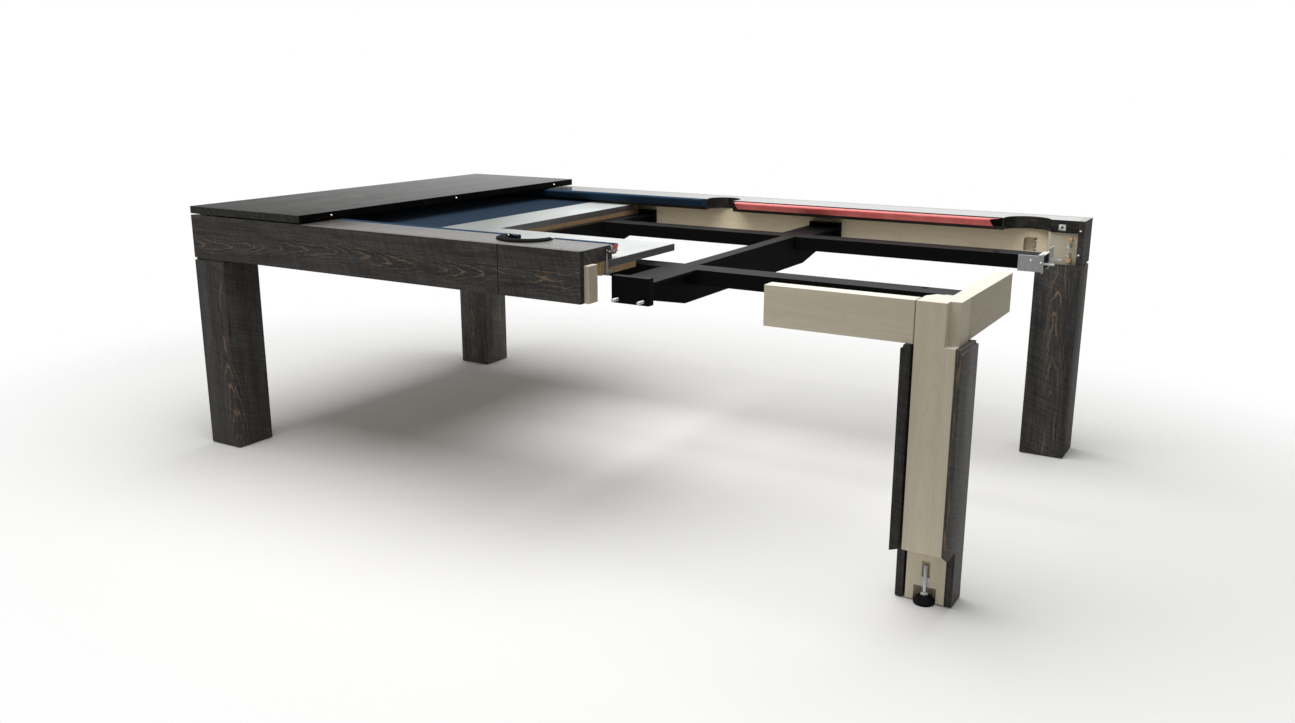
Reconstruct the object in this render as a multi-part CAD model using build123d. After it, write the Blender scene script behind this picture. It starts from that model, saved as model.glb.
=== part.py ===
"""Sectioned pool table with a lift-off dining top: one STEP file per sub-part, in millimetres.

X runs along the table, Y across it and Z up from the floor. The near side is -Y.
The origin is on the floor under the middle of the table.
"""
from build123d import *
import os
from math import sqrt

# Overall sizes
TABLE_LENGTH = 2605.0
TABLE_WIDTH = 1496.0
RAIL_TOP = 800.0

# Dark facing boards of the aprons and legs
BOARD = 19.0
APRON_HEIGHT = 144.0
SEAM_X = -5.0

# Light structural boards behind the aprons
INNER_APRON = 43.0

# Rails and cushions
RAIL_WIDTH = 158.0
RAIL_THICKNESS = 41.0
CUSHION_DEPTH = 32.0
CUSHION_HEIGHT = 28.0
NOSE_DROP = 5.0
NOSE_ROUND = 3.0
NOSE_UNDERCUT = 11.0
CLOTH = 1.0

# Pockets, as round cuts through the rails
SIDE_POCKET_R = 76.0
SIDE_POCKET_SET = 15.0
CORNER_POCKET_R = 80.0
CORNER_POCKET_SET_X = 18.5
CORNER_POCKET_SET_Y = 12.0
BARE_SIDE_R = 62.0
BARE_SIDE_SET = 32.0
BARE_CORNER_R = 74.0
SIDE_MOUTH = 130.0
SIDE_FLARE = -8.0
CORNER_MOUTH_CUT = 92.0
CORNER_FLARE = 27.0
CUP_WALL = 10.0
CUP_FLOOR = 4.0
CUP_DEPTH = 110.0
POCKET_CLEARANCE = 1.5

# Playing bed
SLATE = 22.0
SLATE_UNDER_RAIL = 18.0
BED_FRAME = 17.0
BED_FRAME_STRIP = 185.0
BED_LEDGE_SIDE = 40.0
BED_LEDGE_END = 17.0
BED_CROSS_STRIP = 105.0

# Welded steel frame
BEAM_Y = 383.0
BEAM_WIDTH = 80.0
BEAM_HEIGHT = 44.0
STEEL_WALL = 3.0
BEAM_HOLE_R = 9.0
BEAM_HOLE_FROM_END = 145.0
BEAM_HOLE_Y = 24.0
CROSS_X = 392.0
CROSS_WIDTH = 46.0
CROSS_DEPTH = 101.0
CROSS_TIP_DEPTH = 46.0
OUTRIGGER_WIDTH = 116.0
OUTRIGGER_PLATE = 8.0
BRACKET_WIDTH = 118.0
BRACKET_HEIGHT = 74.0
BRACKET_RISE = 13.0
BRACKET_DEPTH = 24.0
BRACKET_PLATE = 5.0
END_BRACKET_LENGTH = 77.0
END_BRACKET_EAR = 18.0
END_BRACKET_RISE = 8.0
END_BRACKET_DROP = 6.0
END_BRACKET_LIP = 18.0
END_BRACKET_LUG = 56.0
END_BRACKET_LUG_RISE = 15.0
END_BRACKET_LUG_HEIGHT = 45.0

# Legs
LEG_WIDTH = 142.0
LEG_SHADOW_GAP = 8.0
LEG_REBATE = 5.0
POST_CLEARANCE = 6.0
POST_REBATE = 26.0
FLOOR_GAP = 3.0

# Levelling feet
FOOT_R = 26.0
FOOT_RIM = 8.0
FOOT_HEIGHT = 21.0
FOOT_NECK_R = 11.0
FOOT_NUT_R = 10.0
FOOT_NUT = 9.0
STUD_R = 5.5
STUD_TOP = 100.0
STUD_CLEARANCE = 0.3
FOOT_RECESS_R = 28.0
FOOT_RECESS = 39.0
INSERT_R = 10.0
INSERT_LENGTH = 25.0
STUD_BORE = 67.0

# Joints between the light boards and the leg posts
DOWEL_R = 7.0
DOWEL_LENGTH = 18.0
DOWEL_INSET_LOW = 14.0
DOWEL_INSET_HIGH = 22.0
HANGER_R = 4.0
HANGER_GRIP = 30.0
HANGER_SPACING = 28.0
HANGER_NUT_R = 7.0
HANGER_NUT = 7.0
HANGER_TAIL = 8.0
JOINT_WALL = 43.0
JOINT_RECESS = 42.0
JOINT_RECESS_HEIGHT = 50.0
JOINT_RECESS_DEPTH = 30.0
JOINT_RECESS_R = 10.0

# Other fasteners
BRACKET_BOLT_R = 5.0
BRACKET_BOLT_LENGTH = 26.0
BRACKET_BOLT_HEAD_R = 8.0
BRACKET_BOLT_HEAD = 6.0
BRACKET_BOLT_SPACING = 80.0
BRACKET_BOLT_INSET = 11.0
END_BOLT_R = 4.0
END_BOLT_LENGTH = 33.0
END_BOLT_HEAD_R = 6.5
END_BOLT_HEAD = 5.0
RAIL_BOLT_R = 5.0
RAIL_BOLT_TOP = 10.0
RAIL_PLATE = 4.0
RAIL_PLATE_DROP = 18.0
RAIL_PLATE_PROUD = 16.0
RAIL_PLATE_OUT = 8.0
RAIL_PLATE_IN = 34.0
RAIL_PLATE_STUD_R = 4.0
RAIL_PLATE_STUD = 14.0
RAIL_BOLT_NUT_R = 9.5
RAIL_BOLT_NUT = 10.0
RAIL_BOLT_WASHER_R = 13.0
RAIL_BOLT_WASHER = 2.0
RAIL_BOLT_SETBACK = 28.0
RAIL_BOLT_SPACING = 560.0
RAIL_BOLT_COUNT = 3
BOLT_CLEARANCE = 0.3
PIN_R = 4.0
PIN_OUT = 5.0
PIN_GRIP = 12.0
APRON_PIN_SHARE = 0.65
APRON_PIN_LOW = 34.0
APRON_PIN_HIGH = 112.0
INSERT_PLATE_WIDTH = 22.0
INSERT_PLATE_HEIGHT = 19.0
INSERT_PLATE_DEPTH = 16.0
INSERT_PLATE_BORE_R = 4.0
INSERT_PLATE_FROM_POCKET = 24.0
INSERT_PLATE_DROP = 24.0

# Dining top
TOP_PANEL_LENGTH = 517.5
TOP_THICKNESS = 24.0
TOP_PAD = 4.6
TOP_PAD_R = 15.0
TOP_PAD_INSET = 80.0
TOP_PIN_SPACING = 614.0

# Where the display model is cut away
RAIL_SECTION_X = 274.0
INNER_SECTION_PROUD = 15.0
NEAR_STUB = 381.0
END_STUB = 391.0
CORNER_STUB = 126.0
SLATE_SECTION_X = -395.0
SLATE_STRIP_WIDTH = 370.0
CLOTH_SECTION_X = -579.0
FOOT_SECTION_Z = 148.0

# Levels and lines that follow from the sizes above
HALF_L = TABLE_LENGTH / 2
HALF_W = TABLE_WIDTH / 2
CORE_X = HALF_L - BOARD
CORE_Y = HALF_W - BOARD
INNER_X = CORE_X - INNER_APRON
INNER_Y = CORE_Y - INNER_APRON
RAIL_EDGE_X = HALF_L - RAIL_WIDTH
RAIL_EDGE_Y = HALF_W - RAIL_WIDTH
NOSE_X = RAIL_EDGE_X - CUSHION_DEPTH
NOSE_Y = RAIL_EDGE_Y - CUSHION_DEPTH
RAIL_BOTTOM = RAIL_TOP - RAIL_THICKNESS
APRON_BOTTOM = RAIL_TOP - APRON_HEIGHT
SLATE_BOTTOM = RAIL_BOTTOM - SLATE
BEAM_TOP = SLATE_BOTTOM - BED_FRAME
SLATE_X = RAIL_EDGE_X + SLATE_UNDER_RAIL
SLATE_Y = RAIL_EDGE_Y + SLATE_UNDER_RAIL
BED_X = SLATE_X + BED_LEDGE_END
BED_Y = SLATE_Y + BED_LEDGE_SIDE
STRIP_Y = -SLATE_Y + SLATE_STRIP_WIDTH
CORNER_X = RAIL_EDGE_X - CORNER_POCKET_SET_X
CORNER_Y = RAIL_EDGE_Y + CORNER_POCKET_SET_Y
SIDE_Y = RAIL_EDGE_Y + SIDE_POCKET_SET
BARE_SIDE_Y = RAIL_EDGE_Y + BARE_SIDE_SET
CORNER_SECTION_Y = HALF_W - CORNER_STUB
INNER_SECTION_X = RAIL_SECTION_X + INNER_SECTION_PROUD
POST = LEG_WIDTH - 2 * BOARD - POST_CLEARANCE
POST_X = CORE_X - POST
POST_Y = CORE_Y - POST
LEG_TOP = APRON_BOTTOM
INSERT_BOTTOM = FLOOR_GAP + FOOT_RECESS
CUP_BOTTOM = RAIL_TOP - CUP_DEPTH
BRACKET_TOP = BEAM_TOP + BRACKET_RISE
BRACKET_BOTTOM = BRACKET_TOP - BRACKET_HEIGHT
BEAM_END_X = INNER_X - STEEL_WALL
PANEL_X = TOP_PANEL_LENGTH - HALF_L
PANEL_BOTTOM = RAIL_TOP + TOP_PAD
PANEL_TOP = PANEL_BOTTOM + TOP_THICKNESS
CORNERS = {"near_left": (-1, -1), "near_right": (1, -1), "far_left": (-1, 1), "far_right": (1, 1)}
CUT_LEG = "near_right"


def block(x, y, z):
    """Return a box between two limits on each axis, given as pairs in either order."""
    size = [abs(b - a) for a, b in (x, y, z)]
    middle = [(a + b) / 2 for a, b in (x, y, z)]
    return Pos(*middle) * Box(*size)


def rod(start, direction, radius, length):
    """Return a cylinder that starts at a point and runs along a direction."""
    plane = Plane(origin=start, z_dir=direction)
    return plane * Cylinder(radius, length, align=(Align.CENTER, Align.CENTER, Align.MIN))


def upright(x, y, radius, low, high):
    """Return an upright cylinder between two heights."""
    return rod((x, y, low), (0, 0, 1), radius, high - low)


def plan(points, low, high):
    """Return a prism from an outline in XY between two heights."""
    outline = make_face(Polyline(*points, close=True))
    return Pos(0, 0, low) * extrude(outline, high - low, dir=(0, 0, 1))


def along_x(points, start, end):
    """Return a prism from an outline in YZ between two X values."""
    outline = make_face(Polyline(*[(start, y, z) for y, z in points], close=True))
    return extrude(outline, end - start, dir=(1, 0, 0))


def hexagon(start, direction, radius, length):
    """Return a hexagonal nut or bolt head that starts at a point, with its corner radius."""
    plane = Plane(origin=start, z_dir=direction)
    return extrude(plane * RegularPolygon(radius, 6), length, dir=direction)


def pocket_cuts(grow=0.0):
    """Return the round pocket cuts, made larger by a clearance; those without a cup are tighter."""
    low = CUP_BOTTOM - grow
    cuts = [
        upright(0, -SIDE_Y, SIDE_POCKET_R + grow, low, RAIL_TOP),
        upright(0, BARE_SIDE_Y, BARE_SIDE_R + grow, low, RAIL_TOP),
    ]
    for corner, (sx, sy) in CORNERS.items():
        radius = BARE_CORNER_R if corner == "far_right" else CORNER_POCKET_R
        cuts.append(upright(sx * CORNER_X, sy * CORNER_Y, radius + grow, low, RAIL_TOP))
    return cuts


def rail_bolt_places():
    """Return the X and Y of each rail bolt; the first stands in the near side's cut face."""
    y = RAIL_EDGE_Y + RAIL_BOLT_SETBACK
    near = [(RAIL_SECTION_X - i * RAIL_BOLT_SPACING, -y) for i in range(RAIL_BOLT_COUNT)]
    return near + [(near[-1][0], y)]


def rail_bolt_bores():
    """Return the holes for the rail bolts, with room for each nut and washer."""
    seat = BEAM_TOP + RAIL_BOLT_NUT + RAIL_BOLT_WASHER
    tip = RAIL_TOP - RAIL_BOLT_TOP
    bores = []
    for x, y in rail_bolt_places():
        bores.append(upright(x, y, RAIL_BOLT_R + BOLT_CLEARANCE, BEAM_TOP, tip))
        bores.append(upright(x, y, RAIL_BOLT_WASHER_R + BOLT_CLEARANCE, BEAM_TOP, seat))
    return bores


def facing_boards():
    """Return the dark apron boards, mitred at the corners."""
    level = (APRON_BOTTOM, RAIL_TOP)
    near_left = [
        (-HALF_L, -HALF_W), (SEAM_X, -HALF_W), (SEAM_X, -CORE_Y), (-CORE_X, -CORE_Y),
    ]
    far = [(-HALF_L, HALF_W), (HALF_L, HALF_W), (CORE_X, CORE_Y), (-CORE_X, CORE_Y)]
    left = [(-HALF_L, -HALF_W), (-HALF_L, HALF_W), (-CORE_X, CORE_Y), (-CORE_X, -CORE_Y)]
    stub = [
        (HALF_L, HALF_W), (HALF_L, CORNER_SECTION_Y), (CORE_X, CORNER_SECTION_Y), (CORE_X, CORE_Y),
    ]
    return {
        "near_apron_left": plan(near_left, *level),
        "near_apron_right": block((SEAM_X, RAIL_SECTION_X), (-HALF_W, -CORE_Y), level),
        "far_apron": plan(far, *level),
        "left_apron": plan(left, *level),
        "right_apron_stub": cut_all(plan(stub, *level), apron_pins()),
    }


def apron_pins():
    """Return the alignment pins in the cut end of the right apron."""
    x = HALF_L - BOARD * APRON_PIN_SHARE
    start = CORNER_SECTION_Y + PIN_GRIP
    heights = (APRON_BOTTOM + APRON_PIN_LOW, APRON_BOTTOM + APRON_PIN_HIGH)
    return [rod((x, start, z), (0, -1, 0), PIN_R, PIN_GRIP + PIN_OUT) for z in heights]


def post_joints():
    """Return each joint of a board to a leg post: point, direction and whether the board is there."""
    mid_x = CORE_X - INNER_APRON / 2
    mid_y = CORE_Y - INNER_APRON / 2
    joints = []
    for name, (sx, sy) in CORNERS.items():
        joints.append(((sx * POST_X, sy * mid_y), (-sx, 0, 0), True))
        joints.append(((sx * mid_x, sy * POST_Y), (0, -sy, 0), name != "far_right"))
    return joints


def joint_heights():
    """Return the heights of the dowels and of the hanger bolts in every post joint."""
    dowels = (APRON_BOTTOM + DOWEL_INSET_LOW, RAIL_BOTTOM - DOWEL_INSET_HIGH)
    middle = sum(dowels) / 2
    return dowels, (middle - HANGER_SPACING / 2, middle + HANGER_SPACING / 2)


def dowels():
    """Return the wooden dowels of the post joints."""
    pieces = []
    for (x, y), (dx, dy, dz), _ in post_joints():
        for z in joint_heights()[0]:
            start = (x - dx * DOWEL_LENGTH, y - dy * DOWEL_LENGTH, z)
            pieces.append(rod(start, (dx, dy, dz), DOWEL_R, 2 * DOWEL_LENGTH))
    return pieces


def hanger_bolts():
    """Return the steel bolts of the post joints, with a nut wherever the board is in place."""
    reach = JOINT_WALL + HANGER_NUT + HANGER_TAIL
    pieces = []
    for (x, y), (dx, dy, dz), has_board in post_joints():
        for z in joint_heights()[1]:
            start = (x - dx * HANGER_GRIP, y - dy * HANGER_GRIP, z)
            bolt = rod(start, (dx, dy, dz), HANGER_R, HANGER_GRIP + reach)
            if has_board:
                seat = (x + dx * JOINT_WALL, y + dy * JOINT_WALL, z)
                bolt += hexagon(seat, (dx, dy, dz), HANGER_NUT_R, HANGER_NUT)
            pieces.append(bolt)
    return pieces


def recess(x, y, z, axis, run, side):
    """Return a pocket sunk along an axis, with the corners at its end away from the post rounded."""
    pocket = block(x, y, z)
    corners = pocket.edges().filter_by(axis).sort_by(run)
    return fillet(corners[:2] if side > 0 else corners[-2:], JOINT_RECESS_R)


def joint_recesses():
    """Return the pockets in the light boards that give access to the hanger bolts."""
    low, high = joint_heights()[1]
    middle = (low + high) / 2
    half = JOINT_RECESS_HEIGHT / 2
    heights = (middle - half, middle + half)
    cuts = []
    for sx, sy in CORNERS.values():
        along = (sx * (POST_X - JOINT_WALL), sx * (POST_X - JOINT_WALL - JOINT_RECESS))
        across = (sy * INNER_Y, sy * (INNER_Y + JOINT_RECESS_DEPTH))
        cuts.append(recess(along, across, heights, Axis.Y, Axis.X, sx))
        along = (sy * (POST_Y - JOINT_WALL), sy * (POST_Y - JOINT_WALL - JOINT_RECESS))
        across = (sx * INNER_X, sx * (INNER_X + JOINT_RECESS_DEPTH))
        cuts.append(recess(across, along, heights, Axis.X, Axis.Y, sy))
    return cuts


def inner_aprons():
    """Return the light boards behind the aprons, bored for their bolts and dowels."""
    level = (APRON_BOTTOM, RAIL_BOTTOM)
    boards = {
        "near_inner_apron_left": block((-POST_X, INNER_SECTION_X), (-CORE_Y, -INNER_Y), level),
        "near_inner_apron_right": block((POST_X - NEAR_STUB, POST_X), (-CORE_Y, -INNER_Y), level),
        "far_inner_apron": block((-POST_X, POST_X), (INNER_Y, CORE_Y), level),
        "left_inner_apron": block((-CORE_X, -INNER_X), (-POST_Y, POST_Y), level),
        "right_inner_apron": block((INNER_X, CORE_X), (-POST_Y, END_STUB - POST_Y), level),
    }
    cutters = joint_recesses() + dowels() + hanger_bolts() + bracket_bolts() + end_bracket_bolts()
    return {name: cut_all(board, cutters) for name, board in boards.items()}


def cut_all(solid, cutters):
    """Return a solid cut by every cutter whose box reaches it."""
    limits = solid.bounding_box()
    for cutter in cutters:
        reach = cutter.bounding_box()
        apart = [
            reach.min.X > limits.max.X, reach.max.X < limits.min.X,
            reach.min.Y > limits.max.Y, reach.max.Y < limits.min.Y,
            reach.min.Z > limits.max.Z, reach.max.Z < limits.min.Z,
        ]
        if not any(apart):
            solid -= cutter
    return solid


def rails():
    """Return the dark top rails with their pockets and bolt holes; side rails meet at the seam."""
    level = (RAIL_BOTTOM, RAIL_TOP)
    lengths = {
        "near_rail": [(-CORE_X, SEAM_X), (SEAM_X, RAIL_SECTION_X)],
        "far_rail": [(-CORE_X, SEAM_X), (SEAM_X, CORE_X)],
    }
    edges = {"near_rail": (-CORE_Y, -RAIL_EDGE_Y), "far_rail": (RAIL_EDGE_Y, CORE_Y)}
    cutters = pocket_cuts() + rail_bolt_bores()
    cutters.append(insert_block())
    cutters.append(block((CORNER_X, HALF_L), (RAIL_EDGE_Y, CORNER_SECTION_Y), level))
    nodes = {
        name: [cut_all(block(x, edges[name], level), cutters) for x in spans]
        for name, spans in lengths.items()
    }
    left = block((-CORE_X, -RAIL_EDGE_X), (-RAIL_EDGE_Y, RAIL_EDGE_Y), level)
    nodes["left_rail"] = cut_all(left, cutters)
    return nodes


def insert_block():
    """Return the solid block of the joint insert in the cut end of the right rail."""
    reach = sqrt(BARE_CORNER_R**2 - (CORNER_SECTION_Y - CORNER_Y) ** 2)
    start = CORNER_X + reach + INSERT_PLATE_FROM_POCKET
    middle = RAIL_TOP - INSERT_PLATE_DROP
    half = INSERT_PLATE_HEIGHT / 2
    depth = (CORNER_SECTION_Y, CORNER_SECTION_Y + INSERT_PLATE_DEPTH)
    return block((start, start + INSERT_PLATE_WIDTH), depth, (middle - half, middle + half))


def rail_insert():
    """Return the bored metal insert in the cut end of the right rail."""
    plate = insert_block()
    middle = plate.center()
    bore_start = (middle.X, CORNER_SECTION_Y, middle.Z)
    return plate - rod(bore_start, (0, 1, 0), INSERT_PLATE_BORE_R, INSERT_PLATE_DEPTH)


def cushion_outline(skin):
    """Return the cushion's section as (distance from the rail edge, height) inside a cloth skin."""
    nose = CUSHION_DEPTH - skin
    top = RAIL_TOP - skin
    low = RAIL_TOP - CUSHION_HEIGHT + skin
    return [
        (0, top),
        (nose - NOSE_ROUND, top),
        (nose, RAIL_TOP - NOSE_DROP),
        (nose - NOSE_UNDERCUT, low),
        (0, low),
    ]


def side_cushion(side, ends, skin):
    """Return a side cushion between two (X at the nose, X at the rail) ends."""
    edge = side * RAIL_EDGE_Y
    section = [(edge - side * depth, z) for depth, z in cushion_outline(skin)]
    (nose_a, rail_a), (nose_b, rail_b) = ends
    strip = along_x(section, min(nose_a, rail_a), max(nose_b, rail_b))
    nose = side * NOSE_Y
    outline = [(rail_a, edge), (nose_a, nose), (nose_b, nose), (rail_b, edge)]
    return strip & plan(outline, RAIL_BOTTOM, RAIL_TOP)


def end_cushion(skin):
    """Return the left end cushion."""
    nose_end = NOSE_Y - CORNER_MOUTH_CUT
    rail_end = nose_end + CORNER_FLARE
    edge = -RAIL_EDGE_X
    section = [(edge + depth, z) for depth, z in cushion_outline(skin)]
    face = make_face(Polyline(*[(x, -rail_end, z) for x, z in section], close=True))
    strip = extrude(face, 2 * rail_end, dir=(0, 1, 0))
    outline = [(edge, -rail_end), (-NOSE_X, -nose_end), (-NOSE_X, nose_end), (edge, rail_end)]
    return strip & plan(outline, RAIL_BOTTOM, RAIL_TOP)


def cushion_spans():
    """Return each side cushion's side and ends."""
    corner = NOSE_X - CORNER_MOUTH_CUT
    corner_end = (corner, corner + CORNER_FLARE)
    left_end = (-corner, -corner - CORNER_FLARE)
    middle_end = (SIDE_MOUTH / 2, SIDE_MOUTH / 2 + SIDE_FLARE)
    middle_start = (-middle_end[0], -middle_end[1])
    section_end = (RAIL_SECTION_X, RAIL_SECTION_X)
    return {
        "near_cushion_left": (-1, (left_end, middle_start)),
        "near_cushion_right": (-1, (middle_end, section_end)),
        "far_cushion_left": (1, (left_end, middle_start)),
        "far_cushion_right": (1, (middle_end, corner_end)),
    }


def cushions():
    """Return the rubber cushions and the cloth over all but the bare far right one."""
    pieces = {}
    covers = []
    for name, (side, ends) in cushion_spans().items():
        if name == "far_cushion_right":
            pieces[name] = side_cushion(side, ends, 0)
            continue
        pieces[name] = side_cushion(side, ends, CLOTH)
        covers.append(side_cushion(side, ends, 0) - pieces[name])
    pieces["left_cushion"] = end_cushion(CLOTH)
    covers.append(end_cushion(0) - pieces["left_cushion"])
    pieces["cushion_cloth"] = covers
    return pieces


def pocket_cup(x, y, radius, keep):
    """Return a pocket cup whose collar stands only where the rails are, given as a block."""
    inner = radius - CUP_WALL
    cup = upright(x, y, radius, CUP_BOTTOM, RAIL_BOTTOM)
    cup -= upright(x, y, inner, CUP_BOTTOM + CUP_FLOOR, RAIL_BOTTOM)
    collar = upright(x, y, radius, RAIL_BOTTOM, RAIL_TOP)
    collar -= upright(x, y, inner, RAIL_BOTTOM, RAIL_TOP)
    return cup + (collar & keep)


def pockets():
    """Return the cups of the near side pocket and of the two left corner pockets."""
    level = (RAIL_BOTTOM, RAIL_TOP)
    near_side = block((-HALF_L, HALF_L), (-HALF_W, -RAIL_EDGE_Y), level)
    corner_cups = []
    for side in (-1, 1):
        keep = block((-HALF_L, 0), (side * RAIL_EDGE_Y, side * HALF_W), level)
        keep += block((-HALF_L, -RAIL_EDGE_X), (0, side * HALF_W), level)
        corner_cups.append(pocket_cup(-CORNER_X, side * CORNER_Y, CORNER_POCKET_R, keep))
    return {
        "near_side_pocket": pocket_cup(0, -SIDE_Y, SIDE_POCKET_R, near_side),
        "near_corner_pocket": corner_cups[0],
        "far_corner_pocket": corner_cups[1],
    }


def bed():
    """Return the L-shaped slate, the wooden frame under it and the cloth."""
    cutters = pocket_cuts(POCKET_CLEARANCE) + rail_bolt_bores()
    level = (SLATE_BOTTOM, RAIL_BOTTOM)
    slate = block((-SLATE_X, SLATE_SECTION_X), (-SLATE_Y, SLATE_Y), level)
    slate += block((SLATE_SECTION_X, RAIL_SECTION_X), (-SLATE_Y, STRIP_Y), level)
    cloth_level = (RAIL_BOTTOM, RAIL_BOTTOM + CLOTH)
    cloth = block((-RAIL_EDGE_X, CLOTH_SECTION_X), (-RAIL_EDGE_Y, RAIL_EDGE_Y), cloth_level)
    return {
        "slate": cut_all(slate, cutters),
        "slate_frame": [cut_all(strip, cutters) for strip in slate_frame()],
        "bed_cloth": cut_all(cloth, cutters),
    }


def slate_frame():
    """Return the wooden strips under the slate: near, far, left and cross."""
    inner = BED_Y - BED_FRAME_STRIP
    flat = (BEAM_TOP, SLATE_BOTTOM)
    tall = (SLATE_BOTTOM, RAIL_BOTTOM)
    near = block((-BED_X, RAIL_SECTION_X), (-BED_Y, -inner), flat)
    near += block((-BED_X, RAIL_SECTION_X), (-BED_Y, -SLATE_Y), tall)
    far = block((-BED_X, SLATE_SECTION_X), (inner, BED_Y), flat)
    far += block((-BED_X, SLATE_SECTION_X), (SLATE_Y, BED_Y), tall)
    left = block((-BED_X, -BED_X + BED_FRAME_STRIP), (-inner, inner), flat)
    left += block((-BED_X, -SLATE_X), (-inner, inner), tall)
    cross = block((SLATE_SECTION_X - BED_CROSS_STRIP, SLATE_SECTION_X), (-inner, inner), flat)
    return [near, far, left, cross]


def long_beam(side):
    """Return one long box beam of the steel frame as three lengths between the cross beams."""
    y = (side * (BEAM_Y - BEAM_WIDTH / 2), side * (BEAM_Y + BEAM_WIDTH / 2))
    z = (BEAM_TOP - BEAM_HEIGHT, BEAM_TOP)
    inside = CROSS_X - CROSS_WIDTH / 2
    outside = CROSS_X + CROSS_WIDTH / 2
    pieces = []
    for x in ((-BEAM_END_X, -outside), (-inside, inside), (outside, BEAM_END_X)):
        hollow_y = (y[0] + side * STEEL_WALL, y[1] - side * STEEL_WALL)
        tube = block(x, y, z)
        tube -= block(
            (x[0] + STEEL_WALL, x[1] - STEEL_WALL), hollow_y, (z[0] + STEEL_WALL, z[1] - STEEL_WALL)
        )
        pieces.append(tube)
    hole_x = BEAM_END_X - BEAM_HOLE_FROM_END
    hole_y = side * (BEAM_Y - BEAM_HOLE_Y)
    pieces[-1] -= upright(hole_x, hole_y, BEAM_HOLE_R, BEAM_TOP - STEEL_WALL, BEAM_TOP)
    return pieces


def cross_beam(x):
    """Return a deep cross beam that tapers up to its two outrigger brackets."""
    knee = BEAM_Y + BEAM_WIDTH / 2
    tip = INNER_Y - BRACKET_PLATE
    plate = BEAM_TOP - OUTRIGGER_PLATE
    half = [
        (knee, BEAM_TOP), (knee, plate), (tip, plate),
        (tip, BEAM_TOP - CROSS_TIP_DEPTH), (knee, BEAM_TOP - CROSS_DEPTH),
    ]
    outline = half + [(-y, z) for y, z in reversed(half)]
    beam = along_x(outline, x - CROSS_WIDTH / 2, x + CROSS_WIDTH / 2)
    face = make_face(Polyline(*[(0, y, z) for y, z in outline], close=True))
    hollow = extrude(offset(face, -STEEL_WALL), CROSS_WIDTH - 2 * STEEL_WALL, dir=(1, 0, 0))
    return beam - Pos(x - CROSS_WIDTH / 2 + STEEL_WALL, 0, 0) * hollow


def outrigger(x, side):
    """Return an outrigger: the plate over a cross beam's end and the bracket at the light board."""
    knee = BEAM_Y + BEAM_WIDTH / 2
    face = INNER_Y - BRACKET_PLATE
    back = INNER_Y - BRACKET_DEPTH
    half = BRACKET_WIDTH / 2
    inside = half - BRACKET_PLATE
    plate_level = (BEAM_TOP - OUTRIGGER_PLATE, BEAM_TOP)
    level = (BRACKET_BOTTOM, BRACKET_TOP)
    arm = OUTRIGGER_WIDTH / 2
    piece = block((x - arm, x + arm), (side * knee, side * back), plate_level)
    piece += block((x - inside, x + inside), (side * back, side * face), plate_level)
    piece += block((x - half, x + half), (side * face, side * INNER_Y), level)
    for edge in (-1, 1):
        cheek = (x + edge * inside, x + edge * half)
        piece += block(cheek, (side * back, side * INNER_Y), level)
    cap = (BRACKET_TOP - BRACKET_PLATE, BRACKET_TOP)
    piece += block((x - half, x + half), (side * back, side * INNER_Y), cap)
    return cut_all(piece, bracket_bolts())


def bracket_bolts():
    """Return the two bolts of every outrigger bracket, head inside and shank outwards."""
    z = BRACKET_BOTTOM + BRACKET_BOLT_INSET
    head_seat = INNER_Y - BRACKET_PLATE
    pieces = []
    for x in (-CROSS_X, CROSS_X):
        for side in (-1, 1):
            for offset_x in (-BRACKET_BOLT_SPACING / 2, BRACKET_BOLT_SPACING / 2):
                start = (x + offset_x, side * head_seat, z)
                bolt = rod(start, (0, side, 0), BRACKET_BOLT_R, BRACKET_PLATE + BRACKET_BOLT_LENGTH)
                bolt += hexagon(start, (0, -side, 0), BRACKET_BOLT_HEAD_R, BRACKET_BOLT_HEAD)
                pieces.append(bolt)
    return pieces


def end_bracket(sx, sy):
    """Return the bright bracket around one end of a long beam, with an ear, a lug and a top lip."""
    inside = BEAM_Y - BEAM_WIDTH / 2
    outside = BEAM_Y + BEAM_WIDTH / 2
    start = INNER_X - END_BRACKET_LENGTH
    level = (BEAM_TOP - BEAM_HEIGHT - END_BRACKET_DROP, BEAM_TOP)
    ear_level = (BEAM_TOP - BEAM_HEIGHT - END_BRACKET_RISE, BEAM_TOP + END_BRACKET_RISE)
    lug_top = BEAM_TOP + END_BRACKET_LUG_RISE
    lug_level = (lug_top - END_BRACKET_LUG_HEIGHT, lug_top)
    piece = block((sx * start, sx * INNER_X), (sy * (inside - STEEL_WALL), sy * inside), level)
    piece += block((sx * start, sx * INNER_X), (sy * outside, sy * (outside + STEEL_WALL)), level)
    ear = (sy * (inside - END_BRACKET_EAR), sy * inside)
    piece += block((sx * BEAM_END_X, sx * INNER_X), ear, ear_level)
    lug = (sy * outside, sy * (outside + END_BRACKET_LUG))
    piece += block((sx * BEAM_END_X, sx * INNER_X), lug, lug_level)
    lip = (sx * (INNER_X - END_BRACKET_LIP), sx * INNER_X)
    across = (sy * (inside - STEEL_WALL), sy * (outside + STEEL_WALL))
    piece += block(lip, across, (BEAM_TOP, BEAM_TOP + STEEL_WALL))
    return cut_all(piece, end_bracket_bolts())


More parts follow.
